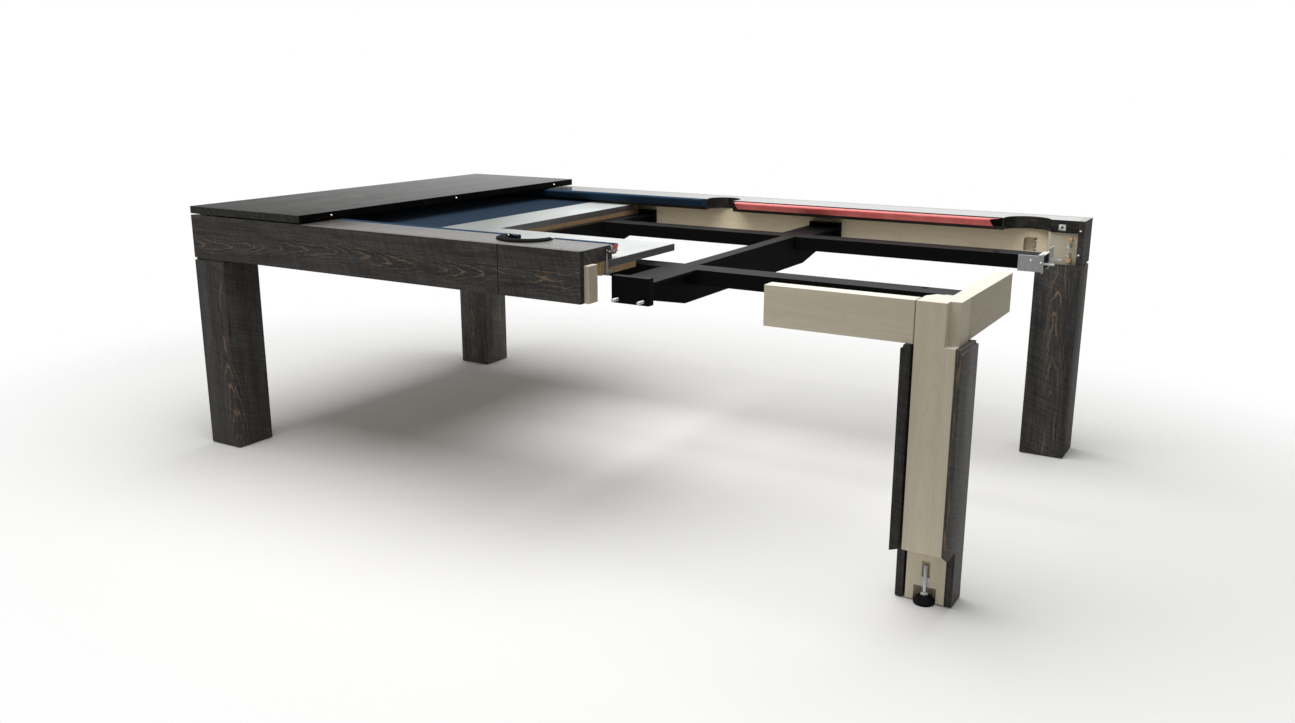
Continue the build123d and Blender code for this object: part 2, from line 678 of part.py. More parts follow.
def end_bracket_bolts():
    """Return the bolts through the ear and lug of the end brackets, towards the end boards."""
    z = BEAM_TOP - BEAM_HEIGHT / 2
    reach = BEAM_WIDTH / 2 + (END_BRACKET_EAR + STEEL_WALL) / 2
    pieces = []
    for sx, sy in CORNERS.values():
        for y in (BEAM_Y - reach, BEAM_Y + reach):
            start = (sx * BEAM_END_X, sy * y, z)
            bolt = rod(start, (sx, 0, 0), END_BOLT_R, STEEL_WALL + END_BOLT_LENGTH)
            bolt += hexagon(start, (-sx, 0, 0), END_BOLT_HEAD_R, END_BOLT_HEAD)
            pieces.append(bolt)
    return pieces


def post_centre(corner):
    """Return the middle of a leg post in plan."""
    sx, sy = CORNERS[corner]
    return sx * (CORE_X - POST / 2), sy * (CORE_Y - POST / 2)


def foot_section():
    """Return the block that is cut away from the front of the near right leg to show its foot."""
    middle = post_centre(CUT_LEG)[1]
    return block((POST_X - LEG_WIDTH, HALF_L), (-HALF_W, middle), (0, FOOT_SECTION_Z))


def leg_post(corner):
    """Return a light leg post, bored for its foot and scooped clear of the corner pocket."""
    sx, sy = CORNERS[corner]
    post = block((sx * POST_X, sx * CORE_X), (sy * POST_Y, sy * CORE_Y), (FLOOR_GAP, RAIL_BOTTOM))
    post -= block(
        (sx * (CORE_X - POST_REBATE), sx * CORE_X),
        (sy * (CORE_Y - POST_REBATE), sy * CORE_Y),
        (APRON_BOTTOM, RAIL_BOTTOM),
    )
    x, y = post_centre(corner)
    post -= upright(x, y, FOOT_RECESS_R, FLOOR_GAP, INSERT_BOTTOM)
    post -= upright(x, y, INSERT_R, INSERT_BOTTOM, INSERT_BOTTOM + STUD_BORE)
    cutters = dowels() + hanger_bolts() + pocket_cuts(POCKET_CLEARANCE)
    if corner == CUT_LEG:
        cutters.append(foot_section())
    return cut_all(post, cutters)


def leg_insert(corner):
    """Return the threaded insert that a foot's stud turns in, as a plain sleeve."""
    x, y = post_centre(corner)
    sleeve = upright(x, y, INSERT_R, INSERT_BOTTOM, INSERT_BOTTOM + INSERT_LENGTH)
    sleeve -= upright(x, y, STUD_R + STUD_CLEARANCE, INSERT_BOTTOM, INSERT_BOTTOM + INSERT_LENGTH)
    if corner == CUT_LEG:
        sleeve -= foot_section()
    return sleeve


def leg_cladding(corner):
    """Return the mitred facing boards around a leg; the cut leg has no front board."""
    sx, sy = CORNERS[corner]
    middle = Pos(sx * (HALF_L - LEG_WIDTH / 2), sy * (HALF_W - LEG_WIDTH / 2), 0)
    out = LEG_WIDTH / 2
    inn = out - BOARD
    front = plan([(-out, -out), (out, -out), (inn, -inn), (-inn, -inn)], FLOOR_GAP, LEG_TOP)
    front -= block((-out, out), (-out, LEG_REBATE - out), (LEG_TOP - LEG_SHADOW_GAP, LEG_TOP))
    boards = [middle * Rot(0, 0, 90 * turn) * front for turn in range(4)]
    if corner == CUT_LEG:
        boards = [board - foot_section() for board in boards[1:]]
    return boards


def foot_pad(corner):
    """Return the domed pad of a levelling foot."""
    x, y = post_centre(corner)
    section = [
        (0, 0), (FOOT_R, 0), (FOOT_R, FOOT_RIM), (FOOT_NECK_R, FOOT_HEIGHT), (0, FOOT_HEIGHT),
    ]
    face = make_face(Polyline(*[(r, 0, z) for r, z in section], close=True))
    return Pos(x, y, 0) * revolve(face, Axis.Z)


def foot_stud(corner):
    """Return the threaded stud and nut of a levelling foot."""
    x, y = post_centre(corner)
    stud = upright(x, y, STUD_R, FOOT_HEIGHT, STUD_TOP)
    return stud + hexagon((x, y, FOOT_HEIGHT), (0, 0, 1), FOOT_NUT_R, FOOT_NUT)


def rail_bolts():
    """Return the rail bolts with nuts and washers, and a plate on the one in the cut face."""
    pieces = []
    for x, y in rail_bolt_places():
        bolt = upright(x, y, RAIL_BOLT_R, BEAM_TOP, RAIL_TOP - RAIL_BOLT_TOP)
        bolt += hexagon((x, y, BEAM_TOP), (0, 0, 1), RAIL_BOLT_NUT_R, RAIL_BOLT_NUT)
        washer_low = BEAM_TOP + RAIL_BOLT_NUT
        bolt += upright(x, y, RAIL_BOLT_WASHER_R, washer_low, washer_low + RAIL_BOLT_WASHER)
        pieces.append(bolt)
    x, y = rail_bolt_places()[0]
    low = RAIL_TOP - RAIL_PLATE_DROP
    high = low + RAIL_PLATE
    front = (x, x + RAIL_PLATE_PROUD)
    pieces[0] += block(front, (y - RAIL_PLATE_OUT, y + RAIL_PLATE_IN), (low, high))
    stud_y = y + (RAIL_PLATE_IN - RAIL_PLATE_OUT) / 2
    pieces[0] += upright(sum(front) / 2, stud_y, RAIL_PLATE_STUD_R, high, high + RAIL_PLATE_STUD)
    return pieces


def dining_top():
    """Return the dining top's panel with the pins in its edge and the pads under it."""
    panel = block((-HALF_L, PANEL_X), (-HALF_W, HALF_W), (PANEL_BOTTOM, PANEL_TOP))
    middle = (PANEL_BOTTOM + PANEL_TOP) / 2
    pins = [
        rod((PANEL_X - PIN_GRIP, i * TOP_PIN_SPACING, middle), (1, 0, 0), PIN_R, PIN_GRIP + PIN_OUT)
        for i in (-1, 0, 1)
    ]
    pad_x = HALF_L - TOP_PAD_INSET
    pad_y = HALF_W - TOP_PAD_INSET
    places = [(-pad_x, 0)]
    for side in (-1, 1):
        places += [(-pad_x, side * pad_y), (PANEL_X - TOP_PAD_INSET, side * pad_y)]
    pads = [upright(x, y, TOP_PAD_R, RAIL_TOP, PANEL_BOTTOM) for x, y in places]
    return {
        "dining_top_panel": cut_all(panel, pins),
        "dining_top_pins": pins,
        "dining_top_pads": pads,
    }


def build():
    """Return every node of the table by name."""
    nodes = {}
    nodes.update(dining_top())
    nodes.update(facing_boards())
    nodes["apron_pins"] = apron_pins()
    nodes.update(inner_aprons())
    nodes["apron_dowels"] = dowels()
    nodes["hanger_bolts"] = hanger_bolts()
    nodes.update(rails())
    nodes["rail_insert"] = rail_insert()
    nodes["rail_bolts"] = rail_bolts()
    nodes.update(cushions())
    nodes.update(pockets())
    nodes.update(bed())
    for name, side in (("near", -1), ("far", 1)):
        nodes[f"{name}_long_beam"] = long_beam(side)
        for end, x in (("left", -CROSS_X), ("right", CROSS_X)):
            nodes[f"outrigger_{name}_{end}"] = outrigger(x, side)
    nodes["cross_beam_left"] = cross_beam(-CROSS_X)
    nodes["cross_beam_right"] = cross_beam(CROSS_X)
    nodes["bracket_bolts"] = bracket_bolts() + end_bracket_bolts()
    nodes["end_brackets"] = [end_bracket(sx, sy) for sx, sy in CORNERS.values()]
    nodes["leg_inserts"] = [leg_insert(corner) for corner in CORNERS]
    for corner in CORNERS:
        nodes[f"leg_post_{corner}"] = leg_post(corner)
        nodes[f"leg_cladding_{corner}"] = leg_cladding(corner)
        nodes[f"foot_pad_{corner}"] = foot_pad(corner)
        nodes[f"foot_stud_{corner}"] = foot_stud(corner)
    return nodes


os.makedirs("parts", exist_ok=True)
for node, shape in build().items():
    solids = shape if isinstance(shape, list) else [shape]
    solids = [solid for piece in solids for solid in piece.solids()]
    export_step(Compound(solids), f"parts/{node}.step")
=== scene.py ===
"""Looks of a sectioned pool table with a lift-off dining top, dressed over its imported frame.

Lengths are in metres in the frame's axes: X runs along the table, Y across it and Z up from
the floor. The near side is -Y.
"""
import logging
import math
import random
from dataclasses import dataclass, field
from enum import Enum
from typing import Sequence

import bmesh
import bpy
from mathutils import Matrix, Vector


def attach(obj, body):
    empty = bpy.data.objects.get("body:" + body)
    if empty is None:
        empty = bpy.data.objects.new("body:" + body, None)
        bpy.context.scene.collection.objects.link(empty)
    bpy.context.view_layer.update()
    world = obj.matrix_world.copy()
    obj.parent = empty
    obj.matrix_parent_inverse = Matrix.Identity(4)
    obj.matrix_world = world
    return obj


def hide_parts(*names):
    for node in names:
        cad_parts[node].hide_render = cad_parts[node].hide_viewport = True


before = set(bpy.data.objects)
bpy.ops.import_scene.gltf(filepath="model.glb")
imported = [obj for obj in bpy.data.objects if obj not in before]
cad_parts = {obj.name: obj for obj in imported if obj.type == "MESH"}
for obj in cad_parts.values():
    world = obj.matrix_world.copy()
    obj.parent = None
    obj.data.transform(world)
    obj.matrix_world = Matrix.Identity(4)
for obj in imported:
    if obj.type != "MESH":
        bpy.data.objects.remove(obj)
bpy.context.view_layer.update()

LOG = logging.getLogger("pool_table")
Socket = bpy.types.NodeSocket
Feed = Socket | float | tuple
Colour = tuple[float, float, float]
Spot = tuple[float, float, float]
Streak = tuple[float, float, float]
Point = tuple[float, float]

UP = Vector((0.0, 0.0, 1.0))
CORNERS = {
    "near_left": (-1, -1),
    "near_right": (1, -1),
    "far_left": (-1, 1),
    "far_right": (1, 1),
}
CUT_LEG = "near_right"
RAIL_TOP = 0.800
SLATE_TOP = 0.759
SEED_SPREAD = (1.0, 1.7, 0.6)

# Proportions of turned pieces: flutes as a share of the radius, a thread's depth as a share of its
# pitch and of its radius, its chamfer as a share of that depth, and its steps in one turn.
FLUTE_DEPTH = 0.045
THREAD_DEPTH = (0.55, 0.16)
THREAD_CHAMFER = 1.2
THREAD_STEPS = 4

# A nut's bore as a share of the thread's radius and its mouth as a share of the bore, a washer's
# easing as a share of its thickness, and a pin's dome as a share of its radius, with the shoulder
# on that dome.
NUT_BORE = 0.9
NUT_MOUTH = 1.08
WASHER_EASE = 0.2
WASHER_SIDES = 36
PIN_DOME = 0.55
PIN_SHOULDER = (0.7, 0.25)
PIN_SIDES = 28

# A rounding reaches at most this share of the way to the next corner.
ROUND_REACH = 0.45

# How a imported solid's edges are found: points closer than a reach are joined, and angles are in degrees.
WELD_REACH = 0.00002
FLAT_ANGLE = 0.4
EDGE_ANGLE = 32.0


class Graph:
    """A material's nodes, added one step at a time around one surface shader."""

    def __init__(self, name: str) -> None:
        """Start a material with its surface shader.

        Args:
            name: the material's name.
        """
        material = bpy.data.materials.new(name)
        material.use_nodes = True
        self.nodes = material.node_tree.nodes
        self.links = material.node_tree.links
        self.nodes.clear()
        self.shader = self.nodes.new("ShaderNodeBsdfPrincipled")
        self.output = self.nodes.new("ShaderNodeOutputMaterial")
        self.links.new(self.shader.outputs["BSDF"], self.output.inputs["Surface"])
        self.point = self.nodes.new("ShaderNodeTexCoord").outputs["Object"]
        parts = self.nodes.new("ShaderNodeSeparateXYZ")
        self.links.new(self.point, parts.inputs[0])
        self.axes = list(parts.outputs)

    def feed(self, socket: Socket, value: Feed) -> None:
        """Link a socket to another node's result, or set it to a constant.

        Args:
            socket: the socket to feed.
            value: a result, a number, or a colour or vector of three parts.
        """
        if isinstance(value, bpy.types.NodeSocket):
            self.links.new(value, socket)
        elif socket.type == "RGBA":
            socket.default_value = (*value, 1.0)
        else:
            socket.default_value = value

    def add(self, kind: str, inputs: dict, output: int = 0, **settings: object) -> Socket:
        """Add a node and return one of its results.

        Args:
            kind: the node's type without its common prefix.
            inputs: values or results for its sockets, by name or number.
            output: number of the result to return.
            settings: properties of the node itself.

        Returns:
            The chosen output socket.
        """
        node = self.nodes.new("ShaderNode" + kind)
        for key, value in settings.items():
            setattr(node, key, value)
        for key, value in inputs.items():
            self.feed(node.inputs[key], value)
        return node.outputs[output]

    def math(self, operation: str, *values: Feed) -> Socket:
        """Return the result of a sum on one to three values."""
        return self.add("Math", dict(enumerate(values)), operation=operation)

    def times(self, first: Feed, second: Feed) -> Socket:
        """Return the product of two values."""
        return self.math("MULTIPLY", first, second)

    def blend(self, *parts: tuple[Feed, float]) -> Socket:
        """Add values up, each times its weight.

        Args:
            parts: the values with their weights.

        Returns:
            The sum.
        """
        total = 0.0
        for value, weight in reversed(parts):
            total = self.math("MULTIPLY_ADD", value, weight, total)
        return total

    def noise(self, vector: Socket, detail: float, rough: float = 0.6) -> Socket:
        """Return cloudy noise from 0 to 1 at the scale of the given vector."""
        inputs = {"Vector": vector, "Scale": 1.0, "Detail": detail, "Roughness": rough}
        return self.add("TexNoise", inputs)

    def cloud(self, scale: float, detail: float, rough: float = 0.6) -> Socket:
        """Return cloudy noise with one scale along every axis."""
        return self.noise(self.scaled((scale,) * 3), detail, rough)

    def cells(self, scale: float, output: int = 0) -> Socket:
        """Return the distance to the nearest of scattered points, or their colour as output 1."""
        return self.add("TexVoronoi", {"Vector": self.scaled((scale,) * 3), "Scale": 1.0}, output)

    def scaled(self, scale: Sequence[float], seed: float = 0.0) -> Socket:
        """Return the surface point multiplied axis by axis and moved by a seed."""
        shift = tuple(seed * part for part in SEED_SPREAD)
        return self.add("VectorMath", {0: self.point, 1: scale, 2: shift}, operation="MULTIPLY_ADD")

    def step(self, value: Socket, low: float, high: float, top: float = 1.0) -> Socket:
        """Return a smooth rise from 0 at low to top at high."""
        inputs = {"Value": value, "From Min": low, "From Max": high, "To Max": top}
        return self.add("MapRange", inputs, interpolation_type="SMOOTHSTEP")

    def ramp(self, value: Socket, low: float, high: float) -> Socket:
        """Return a straight rise from 0 at low to 1 at high."""
        return self.add("MapRange", {"Value": value, "From Min": low, "From Max": high})

    def span(self, value: Socket, low: float, high: float) -> Socket:
        """Return a value from 0 to 1 carried over to the range from low to high."""
        return self.add("MapRange", {"Value": value, "To Min": low, "To Max": high})

    def mix(self, share: Feed, first: Feed, second: Feed, blend: str = "MIX") -> Socket:
        """Return two colours mixed by a share."""
        inputs = {0: share, 6: first, 7: second}
        return self.add("Mix", inputs, 2, data_type="RGBA", blend_type=blend)

    def dim(self, colour: Feed, level: Socket) -> Socket:
        """Return a colour multiplied by one level."""
        grey = self.add("CombineColor", {0: level, 1: level, 2: level})
        return self.mix(1.0, colour, grey, "MULTIPLY")

    def facing(self, axis: int) -> Socket:
        """Return how far the surface faces up one axis of the frame."""
        normal = self.nodes.new("ShaderNodeNewGeometry").outputs["True Normal"]
        return self.add("SeparateXYZ", {0: normal}, axis)

    def faces(self, axis: int, low: float = 0.5, high: float = 0.9, top: float = 1.0) -> Socket:
        """Return a smooth rise to top on the faces that look up one axis of the frame."""
        return self.step(self.facing(axis), low, high, top)

    def bump(self, height: Socket, depth: float, strength: float) -> None:
        """Raise the shading by a height from 0 to 1, up to a depth in metres."""
        inputs = {"Height": height, "Distance": depth, "Strength": strength}
        self.feed(self.shader.inputs["Normal"], self.add("Bump", inputs))

    def set(self, **values: Feed) -> None:
        """Set sockets of the surface shader, with spaces written as underscores."""
        for key, value in values.items():
            self.feed(self.shader.inputs[key.replace("_", " ")], value)


class Grain(Enum):
    """The axis that a timber's grain follows, then the two axes across it."""

    ALONG_X = (0, 1, 2)
    ALONG_Y = (1, 0, 2)
    ALONG_Z = (2, 0, 1)

    def scales(self, along: float, across: float) -> Spot:
        """Return scales for the three axes, one along the grain and one across it."""
        return tuple(along if axis == self.value[0] else across for axis in range(3))


@dataclass(frozen=True)
class Finish:
    """A finish, made into a material the first time that a piece is dressed in it."""

    name: str

    def paint(self, graph: Graph) -> None:
        """Build the finish on an empty graph."""
        raise NotImplementedError

    def material(self) -> bpy.types.Material:
        """Make the material, once.

        Returns:
            The finish's material.
        """
        if self.name not in bpy.data.materials:
            self.paint(Graph(self.name))
        return bpy.data.materials[self.name]


@dataclass(frozen=True)
class Timber(Finish):
    """A board cut from a trunk: its grain, where the trunk's heart lies across it, and its streaks.

    Streaks are given as how many lie in a metre along the grain and across it, and their detail.
    """

    grain: Grain = Grain.ALONG_X
    heart: Point = (0.0, 0.0)
    seed: float = 0.0
    broad: Streak = (1.8, 26.0, 4.0)
    fine: Streak = (45.0, 640.0, 2.0)
    stray: tuple[tuple[Streak, float], ...] = (((1.7, 3.0, 1.0), 0.070), ((34.0, 70.0, 3.0), 0.022))
    wander: Streak = (2.9, 5.0, 2.0)
    wander_rings: float = 5.0
    bow: float = 1.6

    def streaks(self, graph: Graph, streak: Streak) -> Socket:
        """Return noise drawn out along the grain."""
        along, across, detail = streak
        return graph.noise(graph.scaled(self.grain.scales(along, across), self.seed), detail)

    def along(self, graph: Graph) -> Socket:
        """Return the surface point's place along the grain."""
        return graph.axes[self.grain.value[0]]

    def end_grain(self, graph: Graph) -> Socket:
        """Return how squarely the surface faces along the grain, either way."""
        return graph.math("ABSOLUTE", graph.facing(self.grain.value[0]))

    def line_at(self, graph: Graph, place: float, edges: Sequence[float]) -> Socket:
        """Return a thin line across the grain, from where it fades out to where it is full."""
        gap = graph.math("ABSOLUTE", graph.math("SUBTRACT", self.along(graph), place))
        return graph.step(gap, *edges)

    def across(self, graph: Graph) -> Socket:
        """Measure the distance from the heart line across the face.

        Args:
            graph: the graph to add to.

        Returns:
            The distance, below zero on one side of the heart.
        """
        _, first, second = self.grain.value
        a = graph.math("SUBTRACT", graph.axes[first], self.heart[0])
        b = graph.math("SUBTRACT", graph.axes[second], self.heart[1])
        side = graph.step(graph.math("ABSOLUTE", graph.facing(first)), 0.4, 0.6)
        return graph.math("MULTIPLY_ADD", side, graph.math("SUBTRACT", b, a), a)

    def arches(self, graph: Graph, tip: float, width: float, line: Point) -> tuple[Socket, Socket]:
        """Work out the growth rings that arch across the heart of a face.

        Args:
            graph: the graph to add to.
            tip: distance along the grain from one arch to the next.
            width: how far off the heart an arch has fallen back by half that distance.
            line: half thickness of a line and of its soft core, as shares of a ring.

        Returns:
            The lines from 0 to 1, and the distance from the heart line.
        """
        off = self.across(graph)
        for streak, reach in self.stray:
            shift = graph.math("MULTIPLY_ADD", self.streaks(graph, streak), reach, -reach / 2)
            off = graph.math("ADD", off, shift)
        off = graph.math("ABSOLUTE", off)
        bow = graph.times(graph.math("POWER", off, self.bow), 0.5 / width**self.bow)
        drift = graph.math("MULTIPLY_ADD", self.streaks(graph, self.wander), self.wander_rings, bow)
        count = graph.math("MULTIPLY_ADD", self.along(graph), 1.0 / tip, drift)
        gap = graph.math("ABSOLUTE", graph.math("SUBTRACT", graph.math("FRACT", count), 0.5))
        return graph.step(gap, *line), off


@dataclass(frozen=True)
class CharcoalStain(Timber):
    """Dark stained hardwood with sawn marks and brown figure along the heart of a board."""

    dark: Colour = (0.017, 0.0162, 0.015)
    pale: Colour = (0.092, 0.086, 0.078)
    figure: Colour = (0.26, 0.175, 0.118)
    brown: float = 0.7
    flame: Point = (0.14, 0.015)
    flame_line: Point = (0.14, 0.02)
    flame_reach: Point = (0.050, 0.004)
    patches: Streak = (5.5, 14.0, 3.0)
    middle: Streak = (11.0, 150.0, 3.0)
    missed: Streak = (11.0, 120.0, 4.0)
    # Weights of fine, broad and middle streaks, and the range of their sum that the tone spans.
    weights: Spot = (0.24, 0.36, 0.40)
    contrast: Point = (0.30, 0.72)
    saw_shade: Point = (0.70, 1.20)
    saw_pitch: float = 0.0045
    saw_length: float = 0.16
    slant: float = 0.35
    relief: float = 0.0004
    # Roughness and shine, on the top and on the other faces.
    gloss: Point = (0.42, 0.62)
    shine: float = 0.13
    top_shine: float = 0.5
    break_up: Point = (0.8, 1.2)
    # Lacquer on the top, and where it grows from nothing to full along the grain, as a painted light
    # falloff.
    coat: float = 0.15
    coat_rough: float = 0.22
    coat_falloff: Point | None = None
    # Share of the colour on faces that don't look up and on faces that look along +X, both as painted
    # shade.
    edge: float = 1.0
    x_side_shade: float = 1.0
    x_side_shine: float = 0.25
    # Painted light falloff on the top: where it begins and ends along the grain, how much rougher the dim
    # end is and what share of shine it keeps.
    light_falloff: tuple[float, float, float] | None = None
    falloff_shine: float = 0.15
    # Place along the grain of a painted shadow line where two boards meet.
    seam_shadow: float | None = None
    seam_shadow_edges: Point = (0.0024, 0.0008)
    seam_shadow_colour: Colour = (0.002, 0.002, 0.002)

    def sawn(self, graph: Graph) -> Socket:
        """Draw the marks that a saw left across the grain, a little aslant.

        Args:
            graph: the graph to add to.

        Returns:
            The marks from 0 to 1.
        """
        first, second = (graph.axes[axis] for axis in self.grain.value[1:])
        lean = graph.times(graph.math("ADD", first, second), self.slant)
        row = graph.math("DIVIDE", graph.math("ADD", self.along(graph), lean), self.saw_pitch)
        place = [row] + [graph.math("DIVIDE", part, self.saw_length) for part in (first, second)]
        marks = graph.noise(graph.add("CombineXYZ", dict(enumerate(place))), 3.0, 0.65)
        return graph.step(marks, 0.30, 0.70)

    def bare(self, graph: Graph) -> Socket:
        """Work out where the stain has missed the slanted face of a mitre.

        Args:
            graph: the graph to add to.

        Returns:
            The share of bare wood.
        """
        _, first, second = self.grain.value
        slope = graph.times(graph.facing(first), graph.facing(second))
        patch = graph.step(self.streaks(graph, self.missed), 0.505, 0.68, 0.68)
        return graph.times(graph.step(slope, 0.38, 0.47), patch)

    def figured(self, graph: Graph, tone: Socket, fine: Socket) -> Socket:
        """Work out where brown figure shows along the heart of the faces.

        Args:
            graph: the graph to add to.
            tone: the stain's depth.
            fine: its finest streaks.

        Returns:
            The share of brown figure.
        """
        line, off = self.arches(graph, *self.flame, self.flame_line)
        share = graph.times(line, graph.step(off, *self.flame_reach))
        share = graph.times(share, graph.step(self.streaks(graph, self.patches), 0.36, 0.58))
        share = graph.times(share, graph.step(graph.math("ADD", fine, tone), 0.30, 0.95))
        share = graph.times(share, graph.step(self.end_grain(graph), 0.7, 0.5))
        return graph.times(share, self.brown)

    def lacquer(self, graph: Graph, up: Socket) -> None:
        """Lay a clear coat on the top.

        Args:
            graph: the graph to add to.
            up: how far the surface looks up.
        """
        weight = graph.times(up, self.coat)
        # Painted light falloff: the coat fades out along the grain towards the dim end.
        if self.coat_falloff is not None:
            weight = graph.times(weight, graph.ramp(self.along(graph), *self.coat_falloff))
        graph.set(Coat_Weight=weight, Coat_Roughness=self.coat_rough, Coat_IOR=1.5)

    def paint(self, graph: Graph) -> None:
        """Lay streaks, sawn marks and figure over the stain.

        Args:
            graph: the graph to build on.
        """
        layers = [self.streaks(graph, streak) for streak in (self.fine, self.broad, self.middle)]
        fine = layers[0]
        tone = graph.step(graph.blend(*zip(layers, self.weights)), *self.contrast)
        marks = self.sawn(graph)
        colour = graph.dim(graph.mix(tone, self.dark, self.pale), graph.span(marks, *self.saw_shade))
        # Painted shadow: a dark line where two boards meet.
        if self.seam_shadow is not None:
            colour = graph.mix(self.line_at(graph, self.seam_shadow, self.seam_shadow_edges), colour, self.seam_shadow_colour)
        colour = graph.mix(self.figured(graph, tone, fine), colour, self.figure)
        colour = graph.mix(self.bare(graph), colour, self.figure)
        up = graph.faces(2)
        # Painted shade: faces that don't look up keep only a share of the colour.
        if self.edge != 1.0:
            colour = graph.dim(colour, graph.span(up, self.edge, 1.0))
        streak = graph.blend((marks, 0.4), (tone, 0.6))
        shine = graph.times(graph.span(up, self.shine, self.top_shine), graph.span(streak, *self.break_up))
        rough = graph.span(fine, *self.gloss)
        # Painted light falloff: the top grows rougher and less shiny towards the dim end.
        if self.light_falloff is not None:
            low, high, dull = self.light_falloff
            whole = graph.math("SUBTRACT", 1.0, up)
            whole = graph.math("MAXIMUM", graph.ramp(self.along(graph), low, high), whole)
            rough = graph.math("ADD", rough, graph.span(whole, dull, 0.0))
            shine = graph.times(shine, graph.span(whole, self.falloff_shine, 1.0))
        # Painted shade: faces that look along +X are darker and less shiny.
        if self.x_side_shade != 1.0:
            cut = graph.faces(0)
            colour = graph.dim(colour, graph.span(cut, 1.0, self.x_side_shade))
            shine = graph.times(shine, graph.span(cut, 1.0, self.x_side_shine))
        graph.set(Base_Color=colour, Roughness=rough, IOR=1.5, Specular_IOR_Level=shine)
        if self.coat:
            self.lacquer(graph, up)
        graph.bump(graph.blend((marks, 0.5), (fine, 0.5)), self.relief, 0.7)


@dataclass(frozen=True)
class PaleTimber(Timber):
    """Sanded pale hardwood with faint figure and a few rosy mineral streaks."""

    broad: Streak = (1.1, 16.0, 4.0)
    fine: Streak = (14.0, 520.0, 2.0)
    flare: Streak = (3.5, 85.0, 3.0)
    flare_edges: Spot = (0.66, 0.80, 0.6)
    # Weights of fine and broad streaks, and the range of their sum that the tone spans.
    weights: Point = (0.35, 0.65)
    contrast: Point = (0.30, 0.68)
    rough: Point = (0.50, 0.66)
    arch: Point = (0.14, 0.020)
    arch_line: Point = (0.12, 0.02)
    arch_reach: tuple[float, float, float] = (0.06, 0.01, 0.20)
    dark: Colour = (0.62, 0.55, 0.415)
    pale: Colour = (0.72, 0.655, 0.505)
    mineral: Colour = (0.58, 0.43, 0.33)
    # Colour mixed into faces that look up, as painted light.
    top_light: Colour = (0.86, 0.83, 0.75)
    # Share of the colour on the long-grain faces; below 1 it is painted shade.
    shade: float = 1.0
    end: float = 0.66
    relief: float = 0.00015
    # Place along the grain of a painted shadow line where the board meets a post.
    joint: float | None = None
    joint_shadow_edges: tuple[float, float, float] = (0.0045, 0.0015, 0.85)
    joint_shadow_colour: Colour = (0.23, 0.17, 0.11)
    # Heights between which the colour goes from painted light below to painted shade under the rail above.
    under_rail_shade: Point | None = None
    lit_below: Colour = (1.32, 1.29, 1.26)
    shaded_above: Colour = (0.82, 0.745, 0.63)

    def paint(self, graph: Graph) -> None:
        """Lay soft streaks and figure over the sanded wood, with darker end grain.

        Args:
            graph: the graph to build on.
        """
        broad, fine = self.streaks(graph, self.broad), self.streaks(graph, self.fine)
        tone = graph.step(graph.blend(*zip((fine, broad), self.weights)), *self.contrast)
        colour = graph.mix(tone, self.dark, self.pale)
        line, off = self.arches(graph, *self.arch, self.arch_line)
        colour = graph.mix(graph.times(line, graph.step(off, *self.arch_reach)), colour, self.mineral)
        flare = graph.step(self.streaks(graph, self.flare), *self.flare_edges)
        colour = graph.mix(flare, colour, self.mineral)
        end_grain = graph.step(self.end_grain(graph), 0.5, 0.7)
        colour = graph.dim(colour, graph.span(end_grain, self.shade, self.end))
        # Painted shade under the rail, over painted light lower down.
        if self.under_rail_shade is not None:
            shade_tint = graph.mix(graph.ramp(graph.axes[2], *self.under_rail_shade), self.lit_below, self.shaded_above)
            colour = graph.mix(1.0, colour, shade_tint, "MULTIPLY")
        # Painted light: faces that look up are mixed towards a paler colour.
        colour = graph.mix(graph.faces(2, top=0.8), colour, self.top_light)
        # Painted shadow: a dark line where the board meets the post.
        if self.joint is not None:
            colour = graph.mix(self.line_at(graph, self.joint, self.joint_shadow_edges), colour, self.joint_shadow_colour)
        graph.set(Base_Color=colour, Roughness=graph.span(fine, *self.rough))
        graph.set(IOR=1.45, Specular_IOR_Level=0.05)
        graph.bump(fine, self.relief, 0.5)


@dataclass(frozen=True)
class RawSoftwood(Timber):
    """Sawn softwood of the bed frame, with darker rings and a furry face."""

    broad: Streak = (1.6, 120.0, 4.0)
    fine: Streak = (16.0, 600.0, 2.0)
    weights: Point = (0.4, 0.6)
    contrast: Point = (0.32, 0.66)
    rough: Point = (0.62, 0.80)
    dark: Colour = (0.38, 0.245, 0.13)
    pale: Colour = (0.58, 0.405, 0.235)
    end: float = 0.62
    relief: float = 0.0004

    def paint(self, graph: Graph) -> None:
        """Lay ring streaks over the raw wood.

        Args:
            graph: the graph to build on.
        """
        broad, fine = self.streaks(graph, self.broad), self.streaks(graph, self.fine)
        tone = graph.blend(*zip((fine, broad), self.weights))
        colour = graph.mix(graph.step(tone, *self.contrast), self.dark, self.pale)
        end_grain = graph.step(self.end_grain(graph), 0.5, 0.7)
        colour = graph.dim(colour, graph.span(end_grain, 1.0, self.end))
        graph.set(Base_Color=colour, Roughness=graph.span(fine, *self.rough))
        graph.set(IOR=1.45, Specular_IOR_Level=0.1)
        graph.bump(tone, self.relief, 0.7)


